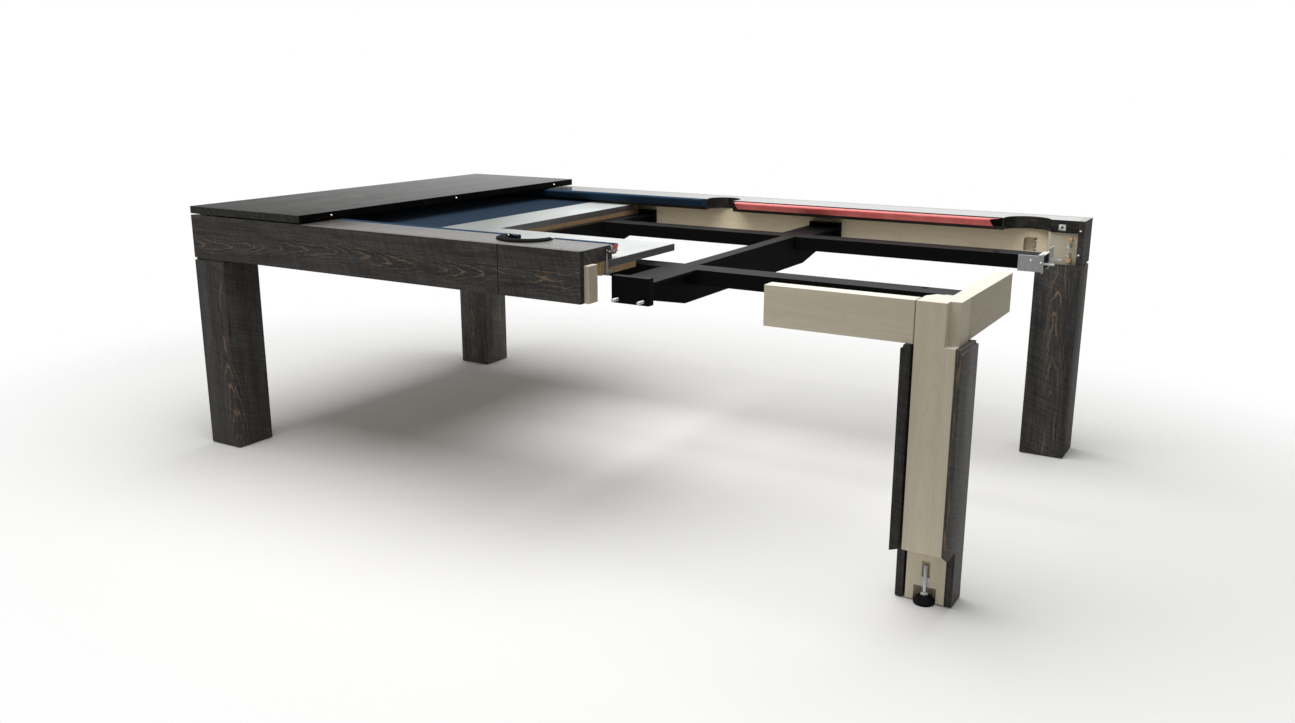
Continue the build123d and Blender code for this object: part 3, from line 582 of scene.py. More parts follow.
@dataclass(frozen=True)
class HonedSlate(Finish):
    """Slate with a pale honed face, painted lighter towards its open corner as painted light, and dark sawn
    edges.
    """

    face: Colour = (0.160, 0.173, 0.166)
    lit_face: Colour = (0.515, 0.536, 0.520)
    edge: Colour = (0.050, 0.051, 0.052)
    layer: Colour = (0.095, 0.095, 0.094)
    layers: Spot = (6.0, 6.0, 420.0)
    # Where the painted light on the face begins and is full, along X and by a share along Y.
    light_ramp: Point = (-0.61, -0.20)
    light_lean: float = 0.68
    shade: Point = (0.90, 1.10)
    rough: Point = (0.32, 0.48)
    relief: float = 0.0003

    def paint(self, graph: Graph) -> None:
        """Cloud the face, layer the edges and part them by the way that they face.

        Args:
            graph: the graph to build on.
        """
        cloud, grit = graph.cloud(5.0, 5.0), graph.cloud(700.0, 2.0)
        beds = graph.noise(graph.scaled(self.layers), 4.0)
        x, y, _ = graph.axes
        lie = graph.math("MULTIPLY_ADD", y, self.light_lean, x)
        # Painted light: the face grows paler towards its open corner.
        top = graph.mix(graph.ramp(lie, *self.light_ramp), self.face, self.lit_face)
        tone = graph.step(graph.blend((cloud, 0.7), (grit, 0.3)), 0.3, 0.7)
        top = graph.dim(top, graph.span(tone, *self.shade))
        side = graph.mix(graph.step(beds, 0.3, 0.7), self.edge, self.layer)
        colour = graph.mix(graph.faces(2, 0.5, 0.95), side, top)
        graph.set(Base_Color=colour, Roughness=graph.span(cloud, *self.rough))
        graph.bump(graph.math("MULTIPLY_ADD", beds, 0.5, grit), self.relief, 0.6)


@dataclass(frozen=True)
class NappedCloth(Finish):
    """Close-napped worsted cloth: a fine twill under a brushed surface."""

    deep: Colour = (0.0050, 0.0130, 0.0250)
    worn: Colour = (0.0085, 0.0213, 0.0400)
    sheen: Colour = (0.55, 0.72, 0.95)
    threads: float = 900.0
    twill: Spot = (1.0, 0.8, 0.7)
    # Shares of the colour on the sides and on the top, as painted shade and painted light.
    side: float = 0.85
    top_light: float = 1.0
    relief: float = 0.0003

    def paint(self, graph: Graph) -> None:
        """Cross two sets of threads under a soft nap.

        Args:
            graph: the graph to build on.
        """
        nap, cloud = graph.cloud(900.0, 3.0, 0.7), graph.cloud(14.0, 4.0)
        slope = graph.blend(*zip(graph.axes, self.twill))
        twill = graph.math("SINE", graph.times(slope, math.tau * self.threads))
        weave = graph.math("MULTIPLY_ADD", twill, 0.2, nap)
        tone = graph.step(graph.blend((cloud, 0.45), (weave, 0.55)), 0.22, 0.75)
        colour = graph.mix(tone, self.deep, self.worn)
        # Painted light and shade: the top is lighter and the sides darker.
        if self.top_light != 1.0:
            colour = graph.dim(colour, graph.span(graph.faces(2, 0.3), self.side, self.top_light))
        graph.set(Base_Color=colour, Roughness=0.95, Specular_IOR_Level=0.08)
        graph.set(Sheen_Weight=0.07, Sheen_Roughness=0.5, Sheen_Tint=self.sheen)
        graph.bump(weave, self.relief, 0.7)


@dataclass(frozen=True)
class GumRubber(Finish):
    """Red moulded gum rubber with a soft sheen on top and a faint bloom."""

    deep: Colour = (0.70, 0.130, 0.120)
    bloom: Colour = (0.79, 0.195, 0.178)
    rough: Point = (0.38, 0.52)
    shine: Point = (0.2, 0.8)
    coat: float = 0.6
    relief: float = 0.00015

    def paint(self, graph: Graph) -> None:
        """Cloud the rubber with bloom and a fine moulded skin.

        Args:
            graph: the graph to build on.
        """
        cloud, skin = graph.cloud(22.0, 4.0), graph.cloud(1400.0, 2.0)
        up = graph.faces(2, 0.6, 0.95)
        graph.set(Base_Color=graph.mix(graph.step(cloud, 0.3, 0.75), self.deep, self.bloom))
        graph.set(Roughness=graph.span(cloud, *self.rough))
        graph.set(IOR=1.5, Specular_IOR_Level=graph.span(up, *self.shine))
        graph.set(Coat_Weight=graph.times(up, self.coat), Coat_Roughness=0.3, Coat_IOR=1.5)
        graph.bump(skin, self.relief, 0.5)


@dataclass(frozen=True)
class PowderCoat(Finish):
    """Black powder coat with a fine orange-peel skin, duller on its sides."""

    dark: Colour = (0.0030, 0.0031, 0.0031)
    pale: Colour = (0.0062, 0.0063, 0.0063)
    rough: Point = (0.40, 0.54)
    shine: Point = (0.028, 0.075)
    side_dull: float = 0.30
    relief: float = 0.0003

    def paint(self, graph: Graph) -> None:
        """Lay fine grit over the black coat.

        Args:
            graph: the graph to build on.
        """
        cloud, peel = graph.cloud(9.0, 4.0), graph.cloud(520.0, 2.0)
        up = graph.faces(2)
        dull = graph.span(up, self.side_dull, 0.0)
        graph.set(Base_Color=graph.mix(graph.step(peel, 0.3, 0.7), self.dark, self.pale))
        graph.set(Roughness=graph.math("ADD", graph.span(cloud, *self.rough), dull))
        graph.set(IOR=1.5, Specular_IOR_Level=graph.span(up, *self.shine))
        graph.bump(peel, self.relief, 0.6)


@dataclass(frozen=True)
class PlatedSteel(Finish):
    """Plated steel: a metal colour with a crystal or brushed break-up."""

    dark: Colour = (0.42, 0.43, 0.43)
    pale: Colour = (0.66, 0.67, 0.66)
    rough: Point = (0.28, 0.46)
    crystal: float = 260.0
    metal: float = 1.0
    # Colour of the faces that look up, as painted light.
    top: Colour | None = None
    scratches: Spot = (60.0, 900.0, 900.0)
    relief: float = 0.00008

    def paint(self, graph: Graph) -> None:
        """Break the plating up into dull and bright grains.

        Args:
            graph: the graph to build on.
        """
        grain = graph.cells(self.crystal, 1)
        scratch = graph.noise(graph.scaled(self.scratches), 3.0)
        tone = graph.blend((scratch, 0.5), (grain, 0.5))
        colour = graph.mix(graph.step(tone, 0.2, 0.8), self.dark, self.pale)
        # Painted light: faces that look up take a paler colour.
        if self.top is not None:
            colour = graph.mix(graph.faces(2), colour, self.top)
        graph.set(Base_Color=colour, Metallic=self.metal, Roughness=graph.span(tone, *self.rough))
        graph.bump(scratch, self.relief, 0.5)


@dataclass(frozen=True)
class BlackMoulding(Finish):
    """Black moulded plastic or rubber with a pebbled skin, as shades of grey."""

    black: float = 0.006
    worn: float = 0.013
    rough: Point = (0.42, 0.60)
    relief: float = 0.0002

    def paint(self, graph: Graph) -> None:
        """Pebble the skin and dull it where it is handled.

        Args:
            graph: the graph to build on.
        """
        pebble, cloud = graph.cells(900.0), graph.cloud(30.0, 3.0)
        colour = graph.mix(graph.step(cloud, 0.35, 0.7), (self.black,) * 3, (self.worn,) * 3)
        graph.set(Base_Color=colour, Roughness=graph.span(cloud, *self.rough))
        graph.set(IOR=1.48, Specular_IOR_Level=0.018)
        graph.bump(pebble, self.relief, 0.5)


ZINC = PlatedSteel("zinc_plate", (0.34, 0.347, 0.347), (0.54, 0.548, 0.54))
DULL_ZINC = PlatedSteel("dull_zinc_plate", (0.17, 0.174, 0.174), (0.27, 0.274, 0.27))
# The galvanised plate's tops carry painted light.
GALVANISED = PlatedSteel(
    "galvanised_plate", (0.25, 0.258, 0.252), (0.32, 0.329, 0.322), (0.40, 0.55), 160.0, 0.15,
    (0.80, 0.80, 0.79),
)
INSERT_PLATE = PlatedSteel("insert_plate", (0.50, 0.50, 0.49), (0.88, 0.88, 0.87), (0.20, 0.40), 90.0)
BRIGHT = PlatedSteel("bright_plate", (0.70, 0.70, 0.69), (0.90, 0.90, 0.89), (0.14, 0.26), 400.0)
BLACK_COAT = PowderCoat("black_powder_coat")
LINER = BlackMoulding("pocket_liner_black", 0.0025, 0.0060, (0.55, 0.70))
FOOT_BLACK = BlackMoulding("foot_black", 0.008, 0.018, (0.35, 0.50))
PAD_BLACK = BlackMoulding("pad_black", 0.014, 0.026, (0.60, 0.75))
RUBBER = GumRubber("red_gum_rubber")
BED_CLOTH = NappedCloth("bed_cloth_navy")
# The cushion cloth carries painted light on its top and painted shade on its sides.
CUSHION_CLOTH = NappedCloth(
    "cushion_cloth_navy", (0.0085, 0.023, 0.046), (0.0145, 0.037, 0.070), top_light=1.35
)
SLATE = HonedSlate("honed_slate")


class Easing(Enum):
    """How far the edges of a solid are rounded off, in metres."""

    CRISP = 0.0004
    SHEET_STEEL = 0.0008
    SANDED = 0.0012
    MOULDED = 0.0030


class Crease(Enum):
    """The bend past which an edge of a made piece stays sharp, in degrees."""

    BOARD = 30.0
    HARDWARE = 35.0
    PIN = 40.0
    MOULDED = 50.0
    CLOTH = 60.0


class Outline(Enum):
    """The form of one ring of a turned piece, seen along its axis."""

    ROUND = 0
    HEXAGON = 6
    FLUTED = 14

    def radius(self, radius: float, angle: float) -> float:
        """Work out a ring's radius at an angle.

        Args:
            radius: the ring's largest radius.
            angle: the angle around the axis.

        Returns:
            The radius there.
        """
        if self is Outline.HEXAGON:
            turn = angle % (math.pi / 3) - math.pi / 6
            return radius * math.cos(math.pi / 6) / math.cos(turn)
        if self is Outline.FLUTED:
            return radius * (1.0 - FLUTE_DEPTH * (0.5 + 0.5 * math.cos(self.value * angle)))
        return radius


@dataclass(frozen=True)
class Ring:
    """One ring of a turned piece: its radius, its height along the axis and its form."""

    radius: float
    height: float
    form: Outline = Outline.ROUND


@dataclass(frozen=True)
class Profile:
    """The rings of a turned piece with a radius and a height of 1, and its faces around the axis."""

    rings: tuple[Ring, ...]
    sides: int = 24

    def sized(self, radius: float, height: float) -> list[Ring]:
        """Return the rings of a piece with this radius and height."""
        return [Ring(radius * ring.radius, height * ring.height, ring.form) for ring in self.rings]


NUT_SIDE = Profile(
    (
        Ring(0.84, 0.0),
        Ring(1.0, 0.10, Outline.HEXAGON),
        Ring(1.0, 0.84, Outline.HEXAGON),
        Ring(0.84, 1.0),
    )
)
BOLT_HEAD = Profile(
    (
        Ring(0.0, 0.0),
        Ring(0.85, 0.0),
        Ring(0.85, 0.08),
        Ring(1.0, 0.10, Outline.HEXAGON),
        Ring(1.0, 0.80, Outline.HEXAGON),
        Ring(0.82, 0.97),
        Ring(0.0, 1.0),
    )
)
SCREW_DOME = Profile((Ring(0.0, 0.0), Ring(1.0, 0.0), Ring(1.0, 0.3), Ring(0.8, 0.8), Ring(0.0, 1.0)))


class Shape:
    """A mesh in the making, at its place in the frame."""

    def __init__(self) -> None:
        """Start with no faces."""
        self.mesh = bmesh.new()

    def turn(
        self, rings: Sequence[Ring], start: Vector, axis: Vector, sides: int = 32, loop: bool = False
    ) -> None:
        """Turn rings about an axis into a closed skin.

        Args:
            rings: the rings in order; one of radius zero closes an end.
            start: the point on the axis that heights are taken from.
            axis: direction of the axis.
            sides: faces around the axis.
            loop: join the last ring to the first, for a piece with a hole.
        """
        axis = axis.normalized()
        side = axis.orthogonal().normalized()
        other = axis.cross(side)
        rows = []
        for ring in rings:
            middle = start + axis * ring.height
            if ring.radius <= 0.0:
                rows.append([self.mesh.verts.new(middle)])
                continue
            row = []
            for i in range(sides):
                angle = math.tau * i / sides
                out = side * math.cos(angle) + other * math.sin(angle)
                row.append(self.mesh.verts.new(middle + out * ring.form.radius(ring.radius, angle)))
            rows.append(row)
        pairs = list(zip(rows, rows[1:]))
        if loop:
            pairs.append((rows[-1], rows[0]))
        for low, high in pairs:
            self.skin(low, high)

    def skin(self, low: list, high: list) -> None:
        """Join two rows of points around, either of which may be a single point.

        Args:
            low: the first row.
            high: the second row.
        """
        count = max(len(low), len(high))
        for i in range(count):
            j = (i + 1) % count
            corners = [low[i % len(low)], low[j % len(low)], high[j % len(high)], high[i % len(high)]]
            corners = list(dict.fromkeys(corners))
            if len(corners) > 2:
                self.mesh.faces.new(corners)

    def thread(
        self, start: Vector, axis: Vector, radius: float, length: float, pitch: float, sides: int = 18
    ) -> None:
        """Add a threaded rod with chamfered ends.

        Args:
            start: middle of its first end.
            axis: direction from there.
            radius: radius over the thread.
            length: length from end to end.
            pitch: rise of the thread in one turn.
            sides: faces around the axis.
        """
        axis = axis.normalized()
        side = axis.orthogonal().normalized()
        other = axis.cross(side)
        depth = min(THREAD_DEPTH[0] * pitch, THREAD_DEPTH[1] * radius)
        chamfer = THREAD_CHAMFER * depth
        levels = max(THREAD_STEPS, round(length / pitch * THREAD_STEPS))
        rows = [[self.mesh.verts.new(start)]]
        for k in range(levels + 1):
            height = length * k / levels
            limit = radius - max(0.0, chamfer - min(height, length - height))
            row = []
            for i in range(sides):
                angle = math.tau * i / sides
                phase = (height / pitch - i / sides) % 1.0
                reach = radius - depth * abs(2.0 * phase - 1.0)
                out = side * math.cos(angle) + other * math.sin(angle)
                row.append(self.mesh.verts.new(start + axis * height + out * min(reach, limit)))
            rows.append(row)
        rows.append([self.mesh.verts.new(start + axis * length)])
        for low, high in zip(rows, rows[1:]):
            self.skin(low, high)

    def nut(self, seat: Vector, axis: Vector, corner: float, height: float, bore: float) -> None:
        """Add a hexagon nut with chamfered corners.

        Args:
            seat: middle of the face that it stands on.
            axis: direction from there.
            corner: radius over its corners.
            height: its height.
            bore: radius of its bore.
        """
        rings = [Ring(bore, 0.0), *NUT_SIDE.sized(corner, height), Ring(bore * NUT_MOUTH, height)]
        self.turn(rings, seat, axis, NUT_SIDE.sides, True)

    def head(self, seat: Vector, axis: Vector, corner: float, height: float) -> None:
        """Add a solid hexagon bolt head with a washer face and a domed top.

        Args:
            seat: middle of the face that it stands on.
            axis: direction from there.
            corner: radius over its corners.
            height: its height.
        """
        self.turn(BOLT_HEAD.sized(corner, height), seat, axis, BOLT_HEAD.sides)

    def washer(self, seat: Vector, axis: Vector, radius: float, height: float, bore: float) -> None:
        """Add a washer with eased edges.

        Args:
            seat: middle of the face that it stands on.
            axis: direction from there.
            radius: its outer radius.
            height: its thickness.
            bore: radius of its hole.
        """
        ease = height * WASHER_EASE
        rings = [
            Ring(bore, 0.0),
            Ring(radius - ease, 0.0),
            Ring(radius, ease),
            Ring(radius, height - ease),
            Ring(radius - ease, height),
            Ring(bore, height),
        ]
        self.turn(rings, seat, axis, WASHER_SIDES, True)

    def pin(self, start: Vector, axis: Vector, radius: float, length: float) -> None:
        """Add a round pin with domed ends.

        Args:
            start: middle of its first end.
            axis: direction from there.
            radius: its radius.
            length: length from end to end.
        """
        dome = radius * PIN_DOME
        out, up = PIN_SHOULDER
        rings = [
            Ring(0.0, 0.0),
            Ring(radius * out, dome * up),
            Ring(radius, dome),
            Ring(radius, length - dome),
            Ring(radius * out, length - dome * up),
            Ring(0.0, length),
        ]
        self.turn(rings, start, axis, PIN_SIDES)

    def block(self, low: Sequence[float], high: Sequence[float], ease: float) -> None:
        """Add a rectangular block with rounded edges between two corners."""
        plan = [(low[0], low[1]), (high[0], low[1]), (high[0], high[1]), (low[0], high[1])]
        self.prism(plan, low[2], high[2], ease)

    def prism(self, plan: Sequence[Point], low: float, high: float, ease: float) -> None:
        """Add an upright prism on a plan, with its edges rounded.

        Args:
            plan: corners in plan, in order.
            low: height of its bottom.
            high: height of its top.
            ease: radius of the rounding.
        """
        before = set(self.mesh.edges)
        floor = [self.mesh.verts.new((x, y, low)) for x, y in plan]
        roof = [self.mesh.verts.new((x, y, high)) for x, y in plan]
        self.skin(floor, roof)
        self.mesh.faces.new(list(reversed(floor)))
        self.mesh.faces.new(roof)
        self.ease(before, ease)

    def ease(self, before: set, radius: float) -> None:
        """Round every edge that was not there before.

        Args:
            before: the edges that stay as they are.
            radius: radius of the rounding.
        """
        edges = [edge for edge in self.mesh.edges if edge not in before]
        bmesh.ops.bevel(
            self.mesh, geom=edges, offset=radius, segments=2, profile=0.5, affect="EDGES",
            clamp_overlap=True,
        )

    def grid(self, rows: Sequence[Sequence[Vector]], caps: tuple[bool, bool], closed: bool) -> None:
        """Skin rows of points, each the same number, into one surface.

        Args:
            rows: the rows in order.
            caps: whether the first and the last row are closed with a face.
            closed: whether each row runs round on itself.
        """
        made = [[self.mesh.verts.new(point) for point in row] for row in rows]
        for low, high in zip(made, made[1:]):
            last = len(low) if closed else len(low) - 1
            for i in range(last):
                j = (i + 1) % len(low)
                self.mesh.faces.new((low[i], low[j], high[j], high[i]))
        if caps[0]:
            self.mesh.faces.new(made[0])
        if caps[1]:
            self.mesh.faces.new(list(reversed(made[-1])))

    def finish(self, name: str, finish: Finish, crease: Crease = Crease.PIN) -> bpy.types.Object:
        """Make the object.

        Args:
            name: the piece's name.
            finish: what it is dressed in.
            crease: the bend past which its edges stay sharp.

        Returns:
            The new object, linked into the scene.
        """
        bmesh.ops.recalc_face_normals(self.mesh, faces=self.mesh.faces[:])
        limit = math.radians(crease.value)
        for face in self.mesh.faces:
            face.smooth = True
        for edge in self.mesh.edges:
            edge.smooth = len(edge.link_faces) != 2 or edge.calc_face_angle(0.0) < limit
        data = bpy.data.meshes.new(name)
        self.mesh.to_mesh(data)
        self.mesh.free()
        data.materials.append(finish.material())
        piece = bpy.data.objects.new(name, data)
        bpy.context.scene.collection.objects.link(piece)
        return piece


def place(piece: bpy.types.Object, body: str, slot: str, *nodes: str) -> bpy.types.Object:
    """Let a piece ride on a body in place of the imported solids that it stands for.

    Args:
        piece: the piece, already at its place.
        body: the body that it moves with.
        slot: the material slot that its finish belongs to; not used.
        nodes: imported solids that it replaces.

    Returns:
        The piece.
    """
    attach(piece, body)
    if nodes:
        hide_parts(*nodes)
    LOG.info("%s on %s", piece.name, body)
    return piece


def dress(node: str, finish: Finish, easing: Easing) -> None:
    """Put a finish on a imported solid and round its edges.

    Args:
        node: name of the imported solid.
        finish: what it is dressed in.
        easing: how far its edges are rounded.
    """
    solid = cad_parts[node]
    solid.data.materials.clear()
    solid.data.materials.append(finish.material())
    weld = solid.modifiers.new("joined faces", "WELD")
    weld.merge_threshold = WELD_REACH
    flat = solid.modifiers.new("whole faces", "DECIMATE")
    flat.decimate_type = "DISSOLVE"
    flat.angle_limit = math.radians(FLAT_ANGLE)
    ease = solid.modifiers.new("eased edges", "BEVEL")
    ease.width = easing.value
    ease.segments = 3 if easing is Easing.MOULDED else 2
    ease.limit_method = "ANGLE"
    ease.angle_limit = math.radians(EDGE_ANGLE)
    ease.use_clamp_overlap = False
    even = solid.modifiers.new("even shading", "WEIGHTED_NORMAL")
    even.keep_sharp = False
    LOG.info("%s dressed in %s", node, finish.name)


@dataclass
class DiningTop:
    """The lift-off dining top: its panel, the pins in its edge and the pads under it."""

    edge_x: float = -0.785
    middle_z: float = 0.8166
    pin_spacing: float = 0.614
    pin_radius: float = 0.0034
    pin_grip: float = 0.012
    pin_length: float = 0.017
    # The panel's top carries a painted light falloff along Y, and its faces that look along +X carry
    # painted shade.
    wood: CharcoalStain = CharcoalStain(
        "charcoal_dining_top", Grain.ALONG_Y, (-1.03, 0.8166), 3.0, gloss=(0.31, 0.47), brown=0.35,
        dark=(0.009, 0.0088, 0.0083), pale=(0.045, 0.043, 0.040), shine=0.08, coat=0.0, top_shine=1.0,
        x_side_shade=0.07, light_falloff=(-0.75, 0.75, 0.28), break_up=(0.55, 1.45),
    )

    def build(self) -> None:
        """Dress the panel and its pads, and make the pins."""
        dress("dining_top_panel", self.wood, Easing.SANDED)
        dress("dining_top_pads", PAD_BLACK, Easing.CRISP)
        shape = Shape()
        for i in (-1, 0, 1):
            start = Vector((self.edge_x - self.pin_grip, i * self.pin_spacing, self.middle_z))
            shape.pin(start, Vector((1, 0, 0)), self.pin_radius, self.pin_length)
        pins = shape.finish("dining_top_edge_pins", BRIGHT)
        place(pins, "dining_top", "bright_pins", "dining_top_pins")


@dataclass
class RailsAndAprons:
    """The dark rails and facing boards, and the pale boards behind them."""

    board_x: float = 1.293
    board_y: float = 0.7385
    seam_x: float = -0.005
    joint_x: float = 1.1855
    apron_middle: float = 0.716
    rail_middle_y: float = 0.668
    rail_middle_x: float = 1.222
    rail_middle_z: float = 0.780
    inner_x: float = 1.262
    inner_y: float = 0.7075
    inner_middle: float = 0.70
    near_coat: float = 0.10
    far_coat: float = 1.0
    coat_rough: float = 0.10
    apron_pale: Colour = (0.086, 0.080, 0.073)
    apron_flame: Point = (0.095, 0.0115)
    rail_brown: float = 0.2
    end_shade: float = 0.78
    under_rail_shade_between: Point = (0.672, 0.765)
    pin_x: float = 1.29015
    pin_start: float = 0.634
    pin_heights: tuple[float, float] = (0.690, 0.768)
    pin_radius: float = 0.004
    pin_length: float = 0.017

    def coat_of(self, node: str) -> float:
        """Return how heavily a board's top is lacquered; the far boards carry the most."""
        return self.near_coat if node.startswith("near") else self.far_coat

    def aprons(self) -> None:
        """Dress the dark facing boards."""
        middle = self.apron_middle
        boards = {
            "near_apron_left": (Grain.ALONG_X, (-self.board_y, middle), 1.0),
            "near_apron_right": (Grain.ALONG_X, (-self.board_y, middle), 8.0),
            "far_apron": (Grain.ALONG_X, (self.board_y, middle), 13.0),
            "left_apron": (Grain.ALONG_Y, (-self.board_x, middle), 17.0),
            "right_apron_stub": (Grain.ALONG_Y, (self.board_x, middle), 21.0),
        }
        # Painted shade on the faces that look along +X, by board.
        cut = {"right_apron_stub": 0.24, "near_apron_right": 0.75}
        for node, (grain, heart, seed) in boards.items():
            seam_shadow = self.seam_x if node.startswith("near") else None
            wood = CharcoalStain(
                f"charcoal_{node}", grain, heart, seed, coat=self.coat_of(node), coat_rough=self.coat_rough,
                seam_shadow=seam_shadow, flame=self.apron_flame, pale=self.apron_pale, x_side_shade=cut.get(node, 1.0),
            )
            dress(node, wood, Easing.SANDED)

    def rails(self) -> None:
        """Dress the dark rails, whose tops are the smoothest of the dark boards."""
        middle = self.rail_middle_z
        sawn = {"gloss": (0.16, 0.36), "relief": 0.0007}
        # The far rail's sides keep half the colour, as painted shade.
        smooth = {"gloss": (0.10, 0.24), "relief": 0.0003, "edge": 0.5, "top_shine": 0.8}
        # The near and far rails carry a painted light falloff along X on their tops.
        boards = {
            "near_rail": (
                Grain.ALONG_X, (-self.rail_middle_y, middle), 25.0, {**sawn, "light_falloff": (-0.9, 0.15, 0.16)}
            ),
            "far_rail": (
                Grain.ALONG_X, (self.rail_middle_y, middle), 29.0,
                {**smooth, "light_falloff": (-1.5, 0.1, 0.0), "coat_falloff": (-0.80, 0.20)},
            ),
            "left_rail": (Grain.ALONG_Y, (-self.rail_middle_x, middle), 33.0, sawn),
        }
        for node, (grain, heart, seed, look) in boards.items():
            wood = CharcoalStain(
                f"charcoal_{node}", grain, heart, seed, coat=self.coat_of(node), coat_rough=self.coat_rough,
                brown=self.rail_brown, **look,
            )
            dress(node, wood, Easing.SANDED)

    def inner_boards(self) -> None:
        """Dress the pale boards behind the aprons."""
        boards = {
            "near_inner_apron_left": (Grain.ALONG_X, -self.inner_y, 41.0, {}),
            "near_inner_apron_right": (Grain.ALONG_X, -self.inner_y, 45.0, {"joint": self.joint_x}),
            "far_inner_apron": (Grain.ALONG_X, self.inner_y, 49.0, {"under_rail_shade": self.under_rail_shade_between}),
            "left_inner_apron": (Grain.ALONG_Y, -self.inner_x, 53.0, {}),
            "right_inner_apron": (Grain.ALONG_Y, self.inner_x, 57.0, {"shade": self.end_shade}),
        }
        for node, (grain, heart, seed, look) in boards.items():
            wood = PaleTimber(f"pale_{node}", grain, (heart, self.inner_middle), seed, **look)
            dress(node, wood, Easing.SANDED)

    def pins(self) -> None:
        """Make the alignment pins in the cut end of the right apron."""
        shape = Shape()
        for z in self.pin_heights:
            start = Vector((self.pin_x, self.pin_start, z))
            shape.pin(start, Vector((0, -1, 0)), self.pin_radius, self.pin_length)
        place(shape.finish("apron_end_pins", BRIGHT), "table", "bright_pins", "apron_pins")

    def build(self) -> None:
        """Dress every board and make the pins."""
        self.aprons()
        self.rails()
        self.inner_boards()
        self.pins()
        dress("rail_insert", INSERT_PLATE, Easing.CRISP)


def rounded(points: Sequence[Point], radii: Sequence[float], steps: int = 5) -> list[Point]:
    """Round the inner corners of an open line.

    Args:
        points: the line's points.
        radii: how far back each inner corner's rounding starts.
        steps: points on each rounding, less one.

    Returns:
        The points of the rounded line.
    """
    line = [points[0]]
    for (before, corner, after), radius in zip(zip(points, points[1:], points[2:]), radii):
        here = Vector(corner)
        back = Vector(before) - here
        on = Vector(after) - here
        start = here + back.normalized() * min(radius, ROUND_REACH * back.length)
        end = here + on.normalized() * min(radius, ROUND_REACH * on.length)
        for k in range(steps + 1):
            t = k / steps
            spot = start * (1 - t) ** 2 + here * (2 * t * (1 - t)) + end * t**2
            line.append((spot.x, spot.y))
    line.append(points[-1])
    return line


@dataclass(frozen=True)
class CushionRun:
    """One length of cushion: its rail edge, the way it faces and its two ends.

    An end is given by its places along the rail at the nose and at the rail edge. The lean is how
    far the first end draws back for each metre below the rail's top.
    """

    name: str
    edge: float
    inward: tuple[float, float]
    first: Point
    last: Point
    covered: bool = True
    cut_last: bool = False
    faced: tuple[int, ...] = ()
    lean: float = 0.0

    def along(self, depth: float, share: float, full: float) -> float:
        """Find a point's place along the rail.

        Args:
            depth: its distance from the rail.
            share: its share of the run's length.
            full: distance of the nose from the rail.

        Returns:
            The coordinate along the rail.
        """
        out = depth / full
        first = self.first[1] + (self.first[0] - self.first[1]) * out
        last = self.last[1] + (self.last[0] - self.last[1]) * out
        return first + (last - first) * share

    def point(self, depth: float, share: float, height: float, full: float) -> Vector:
        """Find a point's place in the frame.

        Args:
            depth: its distance from the rail.
            share: its share of the run's length.
            height: its height above the floor.
            full: distance of the nose from the rail.

        Returns:
            The place.
        """
        along = self.along(depth, share, full) + self.lean * (RAIL_TOP - height) * (1.0 - share)
        if self.inward[1]:
            return Vector((along, self.edge + self.inward[1] * depth, height))
        return Vector((self.edge + self.inward[0] * depth, along, height))

    def length(self) -> float:
        """Return the length at the rail edge."""
        return abs(self.last[1] - self.first[1])


